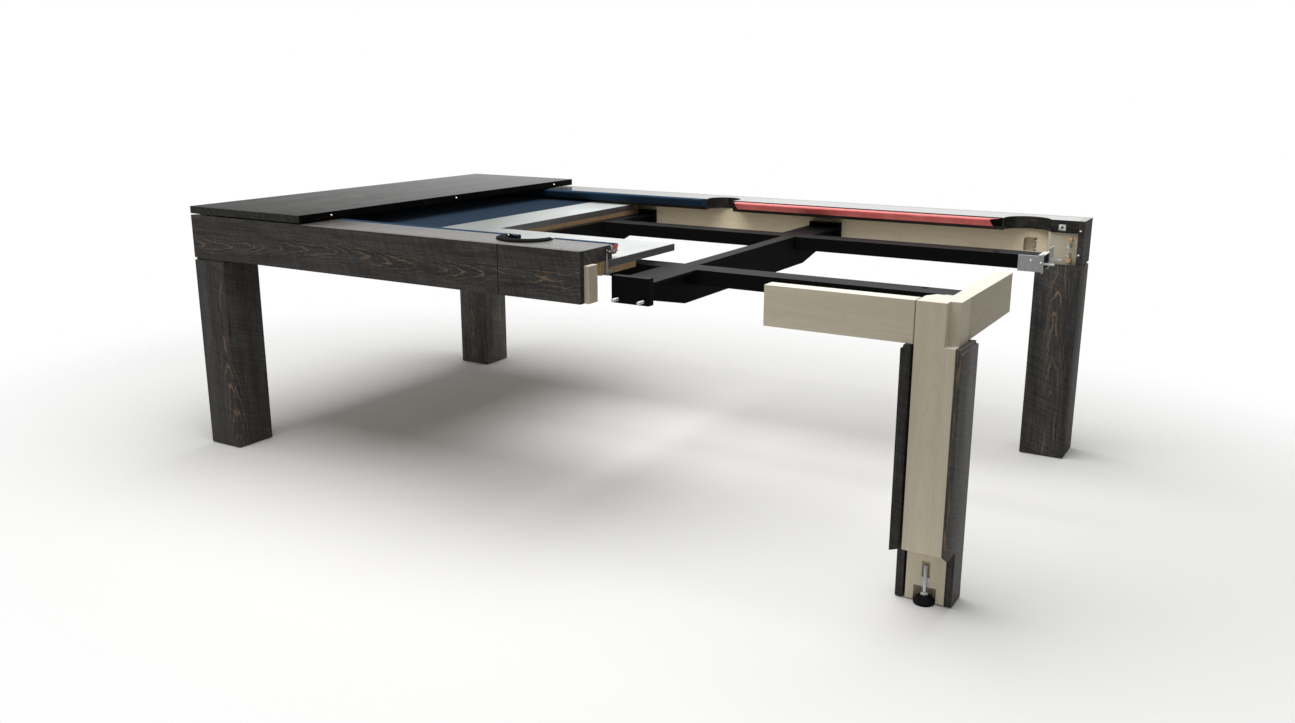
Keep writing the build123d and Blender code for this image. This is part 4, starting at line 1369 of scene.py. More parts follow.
@dataclass
class Cushions:
    """The rubber cushions and the cloth that covers all but the bare one."""

    rail_top: float = RAIL_TOP
    depth: float = 0.032
    height: float = 0.028
    nose_drop: float = 0.005
    nose_round: float = 0.003
    undercut: float = 0.011
    bare_drop: float = 0.0035
    roundings: tuple[float, float, float] = (0.0026, 0.0022, 0.0016)
    core: float = 0.4
    station: float = 0.03
    end_ease: float = 0.0015
    end_pull: float = 0.93
    end_gap: float = 0.0002
    cloth: float = 0.001
    cloth_tuck: float = 0.6
    cloth_turn: float = 0.0006
    cloth_bend: float = 50.0
    facing_depth: float = 0.007
    facing_skin: float = 0.0016
    facing_inset: float = 0.0002
    facing_gap: float = 0.0001
    facing_ease: float = 0.0005
    facing_pull: float = 0.96
    facing_return: float = 0.0115
    facing_back: float = 0.0010
    facing_block_ease: float = 0.0004
    runs: tuple[CushionRun, ...] = (
        CushionRun("near_cushion_left", -0.590, (0, 1), (-1.0205, -1.0475), (-0.065, -0.057), faced=(1,)),
        CushionRun("near_cushion_right", -0.590, (0, 1), (0.065, 0.057), (0.274, 0.274), cut_last=True),
        CushionRun("far_cushion_left", 0.590, (0, -1), (-1.0205, -1.0475), (-0.065, -0.057)),
        CushionRun(
            "far_cushion_right", 0.590, (0, -1), (0.065, 0.057), (1.0205, 1.0475), False, faced=(0, 1),
            lean=0.45,
        ),
        CushionRun("left_cushion", -1.1445, (1, 0), (-0.466, -0.493), (0.466, 0.493)),
    )

    def section(self, skin: float, covered: bool = True) -> list[Point]:
        """Draw the rounded section.

        Args:
            skin: how far inside the full section it lies.
            covered: whether the cushion has its cloth; bare rubber stands lower.

        Returns:
            Its points as (distance from the rail, height).
        """
        nose = self.depth - skin
        top = self.rail_top - skin - (0.0 if covered else self.bare_drop)
        low = self.rail_top - self.height + skin
        points = [
            (0.0, top),
            (nose - self.nose_round, top),
            (nose, top + skin - self.nose_drop),
            (nose - self.undercut, low),
            (0.0, low),
        ]
        return rounded(points, self.roundings)

    def core_height(self) -> float:
        """Return the height that end faces are drawn in towards."""
        return self.rail_top - self.core * self.height

    def shares(self, run: CushionRun) -> list[float]:
        """Return where the sections of a run stand, as shares of its length."""
        count = max(3, round(run.length() / self.station))
        return [k / count for k in range(count + 1)]

    def rubber(self, run: CushionRun) -> None:
        """Make a run's moulded rubber, with its end faces eased.

        Args:
            run: the run of cushion.
        """
        skin = self.cloth if run.covered else 0.0
        section = self.section(skin, run.covered)
        middle_z = self.core_height()
        shares = self.shares(run)
        trim = (skin + self.end_gap if run.covered else self.facing_depth) / run.length()
        edge = self.end_ease / run.length()
        last = 1.0 if run.cut_last else 1.0 - trim
        inner = [s for s in shares if trim + 2 * edge < s < last - 2 * edge]
        rows = []
        for share in [trim, trim + edge, *inner, last - edge, last]:
            pull = self.end_pull if share in (trim, last) else 1.0
            row = []
            for depth, z in section:
                d = depth * pull
                height = middle_z + (z - middle_z) * pull
                row.append(run.point(d, share, height, self.depth))
            rows.append(row)
        shape = Shape()
        shape.grid(rows, (True, True), True)
        piece = shape.finish(f"{run.name}_rubber", RUBBER, Crease.MOULDED)
        place(piece, "table", "red_rubber", run.name)

    def cover(self, run: CushionRun, nodes: Sequence[str]) -> None:
        """Make a run's cloth, drawn over the rubber and down its ends.

        Args:
            run: the run of cushion.
            nodes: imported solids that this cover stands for.
        """
        section = self.section(0.0)
        shape = Shape()
        rows = [
            [run.point(depth, share, z, self.depth) for depth, z in section] for share in self.shares(run)
        ]
        shape.grid(rows, (True, not run.cut_last), False)
        piece = shape.finish(f"{run.name}_cover", CUSHION_CLOTH, Crease.CLOTH)
        turned = piece.modifiers.new("turned edges", "BEVEL")
        turned.width = self.cloth_turn
        turned.segments = 2
        turned.angle_limit = math.radians(self.cloth_bend)
        thick = piece.modifiers.new("cloth thickness", "SOLIDIFY")
        thick.thickness = self.cloth
        thick.offset = -1.0
        place(piece, "table", "cushion_cloth", *nodes)

    def facing(self, run: CushionRun, end: int) -> None:
        """Make the black facing on the end of a run that looks into a pocket.

        Args:
            run: the run of cushion.
            end: 0 for its first end, 1 for its last.
        """
        full = run.length()
        start, thick = (0.0, self.facing_skin) if run.covered else (-self.facing_depth, self.facing_depth)
        height = self.core_height()
        layers = (
            (self.facing_gap, 1.0), (thick - self.facing_ease, 1.0), (thick, self.facing_pull)
        )
        rows = []
        for gap, pull in layers:
            out = (start + gap) / full
            share = 1.0 + out if end else -out
            row = []
            for depth, z in self.section(self.facing_inset, run.covered):
                row.append(run.point(depth * pull, share, height + (z - height) * pull, self.depth))
            rows.append(row)
        shape = Shape()
        shape.grid(rows, (True, True), True)
        if run.covered:
            back = run.point(-self.facing_back, 1.0 - self.facing_return / full, 0.0, self.depth)
            front = run.point(0.0, 1.0 + thick / full, 0.0, self.depth)
            ease = self.facing_block_ease
            low = (back.x, back.y, self.rail_top - self.height)
            shape.block(low, (front.x, front.y, self.rail_top - ease), ease)
        name = f"{run.name}_{('first', 'last')[end]}_facing"
        place(shape.finish(name, LINER, Crease.MOULDED), "table", "pocket_liner")

    def build(self) -> None:
        """Make every run of cushion."""
        nodes = ["cushion_cloth"]
        for run in self.runs:
            self.rubber(run)
            if run.covered:
                self.cover(run, nodes)
                nodes = []
        for run in self.runs:
            for end in run.faced:
                self.facing(run, end)


@dataclass
class PlayingBed:
    """The slate, the timber frame under it and the cloth over its left part."""

    edge_x: float = -1.1445
    edge_y: float = 0.590
    cut_x: float = -0.579
    low: float = SLATE_TOP
    cloth: float = 0.001
    cloth_ease: float = 0.0003
    pocket: Point = (-1.126, 0.602)
    pocket_radius: float = 0.0815
    steps: int = 24
    fray: float = 0.0004
    fray_steps: int = 60
    fray_seed: int = 11

    def corner(self, side: int) -> list[Point]:
        """Draw the cloth's edge round a corner pocket.

        Args:
            side: -1 for the near pocket, 1 for the far one.

        Returns:
            Points in plan from the end rail to the side rail.
        """
        x, y = self.pocket
        r = self.pocket_radius
        start = math.atan2(-math.sqrt(r**2 - (self.edge_x - x) ** 2), self.edge_x - x)
        end = math.atan2(self.edge_y - y, math.sqrt(r**2 - (self.edge_y - y) ** 2))
        arc = []
        for k in range(self.steps + 1):
            angle = start + (end - start) * k / self.steps
            arc.append((x + r * math.cos(angle), side * (y + r * math.sin(angle))))
        return arc

    def cloth_plan(self) -> list[Point]:
        """Draw the cloth's outline with a slightly uneven cut edge.

        Returns:
            Its points in plan.
        """
        draw = random.Random(self.fray_seed)
        cut = []
        for k in range(self.fray_steps + 1):
            y = -self.edge_y + 2 * self.edge_y * k / self.fray_steps
            cut.append((self.cut_x - self.fray * draw.random(), y))
        return self.corner(-1) + cut + list(reversed(self.corner(1)))

    def build(self) -> None:
        """Dress the slate and its frame, and lay the cloth."""
        dress("slate", SLATE, Easing.SANDED)
        wood = RawSoftwood("raw_bed_frame", Grain.ALONG_X, seed=61.0)
        dress("slate_frame", wood, Easing.CRISP)
        shape = Shape()
        plan = self.cloth_plan()
        shape.prism(plan, self.low, self.low + self.cloth, self.cloth_ease)
        bmesh.ops.triangulate(shape.mesh, faces=[f for f in shape.mesh.faces if len(f.verts) > 4])
        cloth = shape.finish("bed_cloth_sheet", BED_CLOTH, Crease.CLOTH)
        place(cloth, "table", "bed_cloth", "bed_cloth")


@dataclass(frozen=True)
class Liner:
    """One pocket liner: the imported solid, its middle and radius, and its collar's arc and lip."""

    node: str
    middle: Point
    radius: float
    first: float
    last: float
    lip: float = 0.007
    rise: float = 0.0036
    lip_taper: Point = (0.024, 0.024)
    rise_taper: float = 0.024


@dataclass
class Pockets:
    """The moulded pocket liners: a cup under each pocket and a collar round the rail's cut."""

    rail_top: float = RAIL_TOP
    rail_bottom: float = SLATE_TOP
    cup_low: float = 0.690
    cup_floor: float = 0.004
    cup_sides: int = 64
    wall: float = 0.010
    bend: float = 0.006
    bend_steps: int = 4
    seat: float = 0.0006
    steps: int = 72
    # The lip's roundings: out from the bore and down from the top, then in from the rim and up by a
    # share of the rise.
    bore_round: tuple[Point, ...] = ((0.0, 0.0045), (0.0005, 0.0022), (0.0020, 0.0006), (0.0045, 0.0))
    rim_round: tuple[Point, ...] = ((0.0030, 0.62), (0.0010, 0.48), (0.0002, 0.28), (0.0, 0.0))
    rivet: Spot = (-0.0648, -0.6210, 0.8045)
    rivet_axis: Spot = (0.97, 0.24, 0.0)
    rivet_radius: float = 0.0023
    rivet_length: float = 0.0036
    liners: tuple[Liner, ...] = (
        Liner(
            "near_side_pocket", (0.0, -0.605), 0.076, 168.6, 371.4, 0.019, 0.0072, (0.010, 0.090), 0.012
        ),
        Liner("near_corner_pocket", (-1.126, -0.602), 0.080, 103.4, 368.6),
        Liner("far_corner_pocket", (-1.126, 0.602), 0.080, -368.6, -103.4),
    )

    def cup_rings(self, radius: float) -> list[Ring]:
        """Draw a cup, from the middle of its underside to the middle of its floor.

        Args:
            radius: its outer radius.

        Returns:
            Its rings.
        """
        inner = radius - self.wall
        low = self.cup_low
        floor = low + self.cup_floor
        turns = [math.pi / 2 * k / self.bend_steps for k in range(self.bend_steps + 1)]
        bends = [(self.bend * (1.0 - math.sin(t)), self.bend * (1.0 - math.cos(t))) for t in turns]
        rings = [Ring(0.0, low)] + [Ring(radius - back, low + up) for back, up in bends]
        rings += [Ring(radius, self.rail_bottom), Ring(inner, self.rail_bottom)]
        rings += [Ring(inner - back, floor + up) for back, up in reversed(bends)]
        return rings + [Ring(0.0, floor)]

    def collar_section(self, liner: Liner, wide: float, tall: float) -> list[Point]:
        """Draw a collar's section.

        Args:
            liner: the liner that the collar belongs to.
            wide: share of the lip's full width.
            tall: share of the lip's full rise.

        Returns:
            Its points as (radius, height).
        """
        inner = liner.radius - self.wall
        outer = liner.radius + self.seat + liner.lip * wide
        rise = self.seat + (liner.rise - self.seat) * tall
        top = self.rail_top + rise
        section = [(inner, self.rail_bottom)]
        section += [(inner + out, top - down) for out, down in self.bore_round]
        section += [(outer - back, self.rail_top + share * rise) for back, share in self.rim_round]
        return section + [(liner.radius, self.rail_top), (liner.radius, self.rail_bottom)]

    def collar(self, shape: Shape, liner: Liner) -> None:
        """Add a collar along the cut in the rail, tapering at both ends.

        Args:
            shape: the mesh to add to.
            liner: the liner that the collar belongs to.
        """
        rows = []
        arc = math.radians(liner.last - liner.first)
        for k in range(self.steps + 1):
            angle = math.radians(liner.first) + arc * k / self.steps
            gone = arc * liner.radius * k / self.steps
            left = arc * liner.radius - gone
            swells = [gone / liner.lip_taper[0], left / liner.lip_taper[1]]
            swells.append(min(gone, left) / liner.rise_taper)
            first, last, tall = (math.sin(min(1.0, swell) * math.pi / 2) for swell in swells)
            row = []
            for reach, z in self.collar_section(liner, min(first, last), tall):
                x = liner.middle[0] + reach * math.cos(angle)
                row.append(Vector((x, liner.middle[1] + reach * math.sin(angle), z)))
            rows.append(row)
        shape.grid(rows, (True, True), True)

    def build(self) -> None:
        """Make the liners and the rivet in the side liner's collar."""
        for liner in self.liners:
            shape = Shape()
            shape.turn(self.cup_rings(liner.radius), Vector((*liner.middle, 0.0)), UP, self.cup_sides)
            self.collar(shape, liner)
            piece = shape.finish(f"{liner.node}_moulding", LINER, Crease.MOULDED)
            place(piece, "table", "pocket_liner", liner.node)
        shape = Shape()
        shape.pin(Vector(self.rivet), Vector(self.rivet_axis), self.rivet_radius, self.rivet_length)
        place(shape.finish("pocket_rivet", BRIGHT), "table", "bright_pins")


@dataclass
class SteelFrame:
    """The welded frame: box beams, cross beams, outriggers, brackets and their bolts."""

    cross_x: float = 0.392
    bolt_offset: float = 0.040
    bolt_z: float = 0.670
    head_seat: float = 0.681
    bolt_radius: float = 0.005
    bolt_length: float = 0.031
    head_corner: float = 0.008
    head_height: float = 0.006
    end_x: float = 1.2375
    end_bolt_z: float = 0.698
    end_bolt_y: tuple[float, float] = (0.3325, 0.4335)
    end_bolt_radius: float = 0.004
    end_bolt_length: float = 0.036
    end_head_corner: float = 0.0065
    end_head_height: float = 0.005
    plate_screw: Spot = (1.202, 0.340, 0.705)
    plate_screw_radius: float = 0.0034
    plate_screw_height: float = 0.0016
    pitch: float = 0.002

    def steel(self) -> None:
        """Dress the beams, outriggers and end brackets."""
        for node in ("near_long_beam", "far_long_beam", "cross_beam_left", "cross_beam_right"):
            dress(node, BLACK_COAT, Easing.SHEET_STEEL)
        for side in ("near", "far"):
            for end in ("left", "right"):
                dress(f"outrigger_{side}_{end}", BLACK_COAT, Easing.SHEET_STEEL)
        dress("end_brackets", GALVANISED, Easing.SHEET_STEEL)

    def bolts(self) -> None:
        """Make the bolts of the outrigger brackets and of the end brackets."""
        shape = Shape()
        heads = Shape()
        for x in (-self.cross_x, self.cross_x):
            for side in (-1, 1):
                for shift in (-self.bolt_offset, self.bolt_offset):
                    seat = Vector((x + shift, side * self.head_seat, self.bolt_z))
                    out = Vector((0, side, 0))
                    shape.head(seat, -out, self.head_corner, self.head_height)
                    shape.thread(seat, out, self.bolt_radius, self.bolt_length, self.pitch)
        for sx, sy in CORNERS.values():
            for y in self.end_bolt_y:
                seat = Vector((sx * self.end_x, sy * y, self.end_bolt_z))
                out = Vector((sx, 0, 0))
                heads.head(seat, -out, self.end_head_corner, self.end_head_height)
                shape.thread(seat, out, self.end_bolt_radius, self.end_bolt_length, self.pitch)
        piece = shape.finish("frame_bolt_set", ZINC, Crease.HARDWARE)
        place(piece, "table", "zinc_hardware", "bracket_bolts")
        place(heads.finish("end_bolt_heads", GALVANISED, Crease.HARDWARE), "table", "galvanised_steel")

    def screws(self) -> None:
        """Make the domed screws in the end brackets' plates."""
        shape = Shape()
        x, y, z = self.plate_screw
        dome = SCREW_DOME.sized(self.plate_screw_radius, self.plate_screw_height)
        for sx, sy in CORNERS.values():
            shape.turn(dome, Vector((sx * x, sy * y, z)), Vector((0, -sy, 0)), SCREW_DOME.sides)
        place(shape.finish("end_plate_screws", BRIGHT, Crease.HARDWARE), "table", "bright_pins")

    def build(self) -> None:
        """Dress the steel, and make its bolts and screws."""
        self.steel()
        self.bolts()
        self.screws()


@dataclass
class JointHardware:
    """Dowels and hanger bolts between boards and posts, and the bolts that hold the rails."""

    post_x: float = 1.1855
    post_y: float = 0.631
    middle_x: float = 1.262
    middle_y: float = 0.7075
    dowel_radius: float = 0.007
    dowel_half: float = 0.018
    dowel_end: float = 0.78
    dowel_chamfer: float = 0.002
    dowel_sides: int = 56
    dowel_heights: Point = (0.670, 0.737)
    dowel_dark: Colour = (0.50, 0.30, 0.15)
    dowel_pale: Colour = (0.76, 0.50, 0.27)
    hanger_radius: float = 0.004
    hanger_grip: float = 0.030
    hanger_reach: float = 0.058
    hanger_heights: tuple[float, float] = (0.6895, 0.7175)
    nut_seat: float = 0.043
    nut_corner: float = 0.007
    nut_height: float = 0.007
    rail_places: tuple[Point, ...] = (
        (0.274, -0.618), (-0.286, -0.618), (-0.846, -0.618), (-0.846, 0.618)
    )
    rail_radius: float = 0.0036
    rail_low: float = 0.720
    rail_high: float = 0.790
    rail_nut_corner: float = 0.0095
    rail_nut_height: float = 0.010
    rail_washer_radius: float = 0.013
    rail_washer_height: float = 0.002
    plate_low: Spot = (0.274, -0.626, 0.782)
    plate_high: Spot = (0.290, -0.584, 0.786)
    plate_ease: float = 0.0006
    stud_at: Spot = (0.282, -0.605, 0.7855)
    stud_radius: float = 0.004
    stud_length: float = 0.0145
    pitch: float = 0.002

    def joints(self) -> list[tuple[Vector, Vector, bool]]:
        """List the joints between boards and posts.

        Returns:
            Each joint's point on the post, its direction and whether it has a nut.
        """
        found = []
        for name, (sx, sy) in CORNERS.items():
            found.append((Vector((sx * self.post_x, sy * self.middle_y, 0)), Vector((-sx, 0, 0)), True))
            free = name == "far_right"
            point = Vector((sx * self.middle_x, sy * self.post_y, 0))
            found.append((point, Vector((0, -sy, 0)), not free))
        return found

    def dowels(self) -> None:
        """Make the fluted dowels with chamfered ends."""
        shape = Shape()
        r = self.dowel_radius
        length = 2 * self.dowel_half
        fluted = Outline.FLUTED
        rings = [
            Ring(0.0, 0.0),
            Ring(r * self.dowel_end, 0.0),
            Ring(r, self.dowel_chamfer, fluted),
            Ring(r, length - self.dowel_chamfer, fluted),
            Ring(r * self.dowel_end, length),
            Ring(0.0, length),
        ]
        for point, out, _ in self.joints():
            for z in self.dowel_heights:
                shape.turn(rings, point + UP * z - out * self.dowel_half, out, self.dowel_sides)
        wood = RawSoftwood(
            "raw_dowels", Grain.ALONG_Y, seed=65.0, dark=self.dowel_dark, pale=self.dowel_pale, end=0.9
        )
        piece = shape.finish("fluted_dowel_set", wood, Crease.BOARD)
        place(piece, "table", "dowel_wood", "apron_dowels")

    def hangers(self) -> None:
        """Make the threaded hanger bolts, with nuts where a board is drawn up."""
        shape = Shape()
        length = self.hanger_grip + self.hanger_reach
        for point, out, has_nut in self.joints():
            for z in self.hanger_heights:
                middle = point + UP * z
                shape.thread(middle - out * self.hanger_grip, out, self.hanger_radius, length, self.pitch)
                if has_nut:
                    seat = middle + out * self.nut_seat
                    shape.nut(seat, out, self.nut_corner, self.nut_height, self.hanger_radius * NUT_BORE)
        piece = shape.finish("hanger_bolt_set", ZINC, Crease.HARDWARE)
        place(piece, "table", "zinc_hardware", "hanger_bolts")

    def rail_bolts(self) -> None:
        """Make the rail bolts with nuts and washers, and the plate and stud on the first."""
        shape = Shape()
        for x, y in self.rail_places:
            foot = Vector((x, y, self.rail_low))
            shape.thread(foot, UP, self.rail_radius, self.rail_high - self.rail_low, self.pitch)
            bore = self.rail_radius * NUT_BORE
            shape.nut(foot, UP, self.rail_nut_corner, self.rail_nut_height, bore)
            seat = foot + UP * self.rail_nut_height
            shape.washer(seat, UP, self.rail_washer_radius, self.rail_washer_height, bore)
        shape.block(self.plate_low, self.plate_high, self.plate_ease)
        shape.pin(Vector(self.stud_at), UP, self.stud_radius, self.stud_length)
        piece = shape.finish("rail_bolt_set", DULL_ZINC, Crease.HARDWARE)
        place(piece, "table", "zinc_hardware", "rail_bolts")

    def build(self) -> None:
        """Make every joint's hardware."""
        self.dowels()
        self.hangers()
        self.rail_bolts()


@dataclass
class Legs:
    """The posts, the mitred boards around them and the levelling feet."""

    half_length: float = 1.3025
    half_width: float = 0.748
    width: float = 0.142
    board: float = 0.019
    floor_gap: float = 0.003
    top: float = 0.656
    groove: float = 0.008
    rebate: float = 0.005
    cut_top: float = 0.148
    post: Point = (1.2345, 0.680)
    ease: float = 0.0008
    hearts: dict[str, Point] = field(
        default_factory=lambda: {
            "near_left": (0.064, -0.064),
            "near_right": (0.200, 0.200),
            "far_left": (-0.015, 0.020),
            "far_right": (0.018, 0.060),
        }
    )
    # Shares of the stain's pale colour by corner, as painted light and painted shade.
    corner_light: dict[str, float] = field(
        default_factory=lambda: {
            "near_left": 0.88,
            "near_right": 0.84,
            "far_left": 1.75,
            "far_right": 0.92,
        }
    )
    # Painted shade on the shaded corner: a darker post, and boards darker on their faces that look along
    # +X.
    shaded: str = "far_right"
    post_shade: float = 0.78
    board_x_side_shade: float = 0.70
    post_seeds: Point = (70.0, 5.0)
    board_seeds: Point = (90.0, 6.0)
    cut_reach: float = 1e-6
    on_cut: float = 1e-5
    foot_radius: float = 0.026
    foot_rim: float = 0.008
    foot_neck: float = 0.011
    foot_height: float = 0.021
    # Roundings of the pad: in from its side, and up from the floor or from the rim.
    sole_round: tuple[Point, ...] = ((0.0016, 0.0), (0.0004, 0.0005), (0.0, 0.0016))
    rim_round: tuple[Point, ...] = ((0.0, -0.002), (0.0005, -0.0005), (0.002, 0.001))
    neck_round: Point = (0.001, 0.0003)
    pad_sides: int = 48
    dome_steps: int = 6
    dome_power: float = 1.15
    stud_radius: float = 0.0055
    stud_top: float = 0.100
    stud_sides: int = 24
    nut_corner: float = 0.010
    nut_height: float = 0.009
    sleeve_radius: float = 0.010
    sleeve_bore: float = 0.0058
    sleeve_low: float = 0.042
    sleeve_high: float = 0.067
    sleeve_sides: int = 40
    sleeve_flange: float = 0.002
    sleeve_turns: int = 6
    sleeve_root: float = 0.93
    sleeve_end: float = 0.001
    # Heights in one turn where the root begins and ends, and where the crest is reached again.
    sleeve_ridge: tuple[float, float, float] = (0.0008, 0.0018, 0.0026)
    pitch: float = 0.00175

    def posts(self) -> None:
        """Dress the pale posts."""
        for i, (corner, (sx, sy)) in enumerate(CORNERS.items()):
            heart = (sx * self.post[0], sy * self.post[1])
            shade = self.post_shade if corner == self.shaded else 1.0
            seed = self.post_seeds[0] + self.post_seeds[1] * i
            wood = PaleTimber(f"pale_post_{corner}", Grain.ALONG_Z, heart, seed, shade=shade)
            dress(f"leg_post_{corner}", wood, Easing.SANDED)

    def boards(self) -> None:
        """Make the mitred boards around each post; the cut leg has no front board."""
        for i, (corner, (sx, sy)) in enumerate(CORNERS.items()):
            half = self.width / 2
            middle = Vector((sx * (self.half_length - half), sy * (self.half_width - half), 0.0))
            dx, dy = self.hearts[corner]
            heart = (middle.x + dx, middle.y + dy)
            # Painted light and shade: each corner's boards are made lighter or darker.
            pale = tuple(part * self.corner_light[corner] for part in CharcoalStain.pale)
            x_side_shade = self.board_x_side_shade if corner == self.shaded else 1.0
            seed = self.board_seeds[0] + self.board_seeds[1] * i
            name = f"charcoal_leg_{corner}"
            wood = CharcoalStain(name, Grain.ALONG_Z, heart, seed, pale=pale, x_side_shade=x_side_shade)
            shape = Shape()
            for turn in range(4):
                if corner == CUT_LEG and turn == 0:
                    continue
                made = self.add_board(shape, middle, turn)
                if corner == CUT_LEG and min(vert.co.y for vert in made) < -self.post[1]:
                    self.step_cut(shape, made, -self.post[1])
            piece = shape.finish(f"leg_boards_{corner}", wood, Crease.BOARD)
            place(piece, "table", "dark_wood", f"leg_cladding_{corner}")

    def add_board(self, shape: Shape, middle: Vector, turn: int) -> list:
        """Add one mitred board with a rebate along the top of its face.

        Args:
            shape: the mesh to add to.
            middle: the leg's axis at the floor.
            turn: quarter turns from the front.

        Returns:
            The board's points.
        """
        half = self.width / 2
        ledge = self.top - self.groove
        section = [
            (0.0, self.floor_gap), (0.0, ledge), (self.rebate, ledge),
            (self.rebate, self.top), (self.board, self.top), (self.board, self.floor_gap),
        ]
        edges = set(shape.mesh.edges)
        points = set(shape.mesh.verts)
        rows = []
        for side in (-1, 1):
            row = []
            for inset, z in section:
                x, y = side * (half - inset), inset - half
                for _ in range(turn):
                    x, y = -y, x
                row.append(middle + Vector((x, y, z)))
            rows.append(row)
        shape.grid(rows, (True, True), True)
        shape.ease(edges, self.ease)
        return [vert for vert in shape.mesh.verts if vert not in points]

    def step_cut(self, shape: Shape, verts: list, line: float) -> None:
        """Cut away the low front part of the board that these points belong to.

        Args:
            shape: the mesh that holds the board.
            verts: the board's points.
            line: the cut stands in front of this Y.
        """
        faces = {face for vert in verts for face in vert.link_faces}
        geometry = list(verts) + list({e for f in faces for e in f.edges}) + list(faces)
        for point, normal in (((0, line, 0), (0, 1, 0)), ((0, 0, self.cut_top), (0, 0, 1))):
            result = bmesh.ops.bisect_plane(
                shape.mesh, geom=geometry, plane_co=point, plane_no=normal, dist=self.cut_reach
            )
            geometry = result["geom"]
        faces = {item for item in geometry if isinstance(item, bmesh.types.BMFace)}
        gone = [
            face
            for face in faces
            if face.calc_center_median().y < line and face.calc_center_median().z < self.cut_top
        ]
        bmesh.ops.delete(shape.mesh, geom=gone, context="FACES")
        rims = [edge for edge in shape.mesh.edges if edge.is_boundary]
        levels = {1: line, 2: self.cut_top}

        def lies_on(vert: bmesh.types.BMVert, axis: int) -> bool:
            """Tell whether a point lies on the cut across an axis."""
            return abs(vert.co[axis] - levels[axis]) < self.on_cut

        points = dict.fromkeys(vert for edge in rims for vert in edge.verts)
        inside = [vert for vert in points if lies_on(vert, 1) and lies_on(vert, 2)]
        rims.append(shape.mesh.edges.new(inside))
        for axis in levels:
            loop = [edge for edge in rims if all(lies_on(vert, axis) for vert in edge.verts)]
            bmesh.ops.edgeloop_fill(shape.mesh, edges=loop)

    def feet(self) -> None:
        """Make the pads, the threaded studs with their nuts, and the sleeves that they turn in."""
        sleeves = Shape()
        for corner, (sx, sy) in CORNERS.items():
            middle = Vector((sx * self.post[0], sy * self.post[1], 0.0))
            body = f"foot_{corner}"
            pad = Shape()
            pad.turn(self.pad_rings(), middle, UP, self.pad_sides)
            piece = pad.finish(f"foot_dome_{corner}", FOOT_BLACK, Crease.HARDWARE)
            place(piece, body, "foot_rubber", f"foot_pad_{corner}")
            stud = Shape()
            foot = middle + UP * self.foot_height
            length = self.stud_top - self.foot_height
            stud.thread(foot, UP, self.stud_radius, length, self.pitch, self.stud_sides)
            stud.nut(foot, UP, self.nut_corner, self.nut_height, self.stud_radius * NUT_BORE)
            piece = stud.finish(f"foot_screw_{corner}", ZINC, Crease.HARDWARE)
            place(piece, body, "zinc_hardware", f"foot_stud_{corner}")
            self.sleeve(sleeves, middle, corner == CUT_LEG)
        piece = sleeves.finish("leg_sleeve_set", ZINC, Crease.HARDWARE)
        place(piece, "table", "zinc_hardware", "leg_inserts")

    def pad_rings(self) -> list[Ring]:
        """Draw a foot's pad, from its sole to its neck.

        Returns:
            Its rings.
        """
        r, rim, neck, high = self.foot_radius, self.foot_rim, self.foot_neck, self.foot_height
        rings = [Ring(0.0, 0.0)] + [Ring(r - back, up) for back, up in self.sole_round]
        rings += [Ring(r - back, rim + up) for back, up in self.rim_round]
        brim = r - self.rim_round[-1][0]
        for k in range(1, self.dome_steps):
            t = k / self.dome_steps
            sweep = math.sin(t * math.pi / 2)
            rings.append(Ring(brim - (brim - neck) * t**self.dome_power, rim + (high - rim) * sweep))
        back, down = self.neck_round
        return rings + [Ring(neck, high - down), Ring(neck - back, high), Ring(0.0, high)]

    def sleeve(self, shape: Shape, middle: Vector, cut: bool) -> None:
        """Add one threaded sleeve, cut in half where the leg is cut away.

        Args:
            shape: the mesh to add to.
            middle: the leg's axis at the floor.
            cut: whether only the back half shows.
        """
        before = set(shape.mesh.verts)
        low, high = self.sleeve_low, self.sleeve_high
        r = self.sleeve_radius
        root = r * self.sleeve_root
        first = low + self.sleeve_flange
        dip, rise, crest = self.sleeve_ridge
        rings = [Ring(self.sleeve_bore, low), Ring(r, low), Ring(r, first)]
        for k in range(self.sleeve_turns):
            base = first + (high - self.sleeve_end - first) * k / self.sleeve_turns
            rings += [Ring(root, base + dip), Ring(root, base + rise), Ring(r, base + crest)]
        rings += [Ring(root, high), Ring(self.sleeve_bore, high)]
        shape.turn(rings, middle, UP, self.sleeve_sides, True)
        if not cut:
            return
        made = [vert for vert in shape.mesh.verts if vert not in before]
        faces = {face for vert in made for face in vert.link_faces}
        edges = {edge for face in faces for edge in face.edges}
        bmesh.ops.bisect_plane(
            shape.mesh, geom=made + list(edges) + list(faces), plane_co=middle, plane_no=(0, -1, 0),
            clear_outer=True,
        )
        rims = [edge for edge in shape.mesh.edges if edge.is_boundary]
        bmesh.ops.holes_fill(shape.mesh, edges=rims, sides=0)

    def build(self) -> None:
        """Dress the posts, and make the boards and feet."""
        self.posts()
        self.boards()
        self.feet()


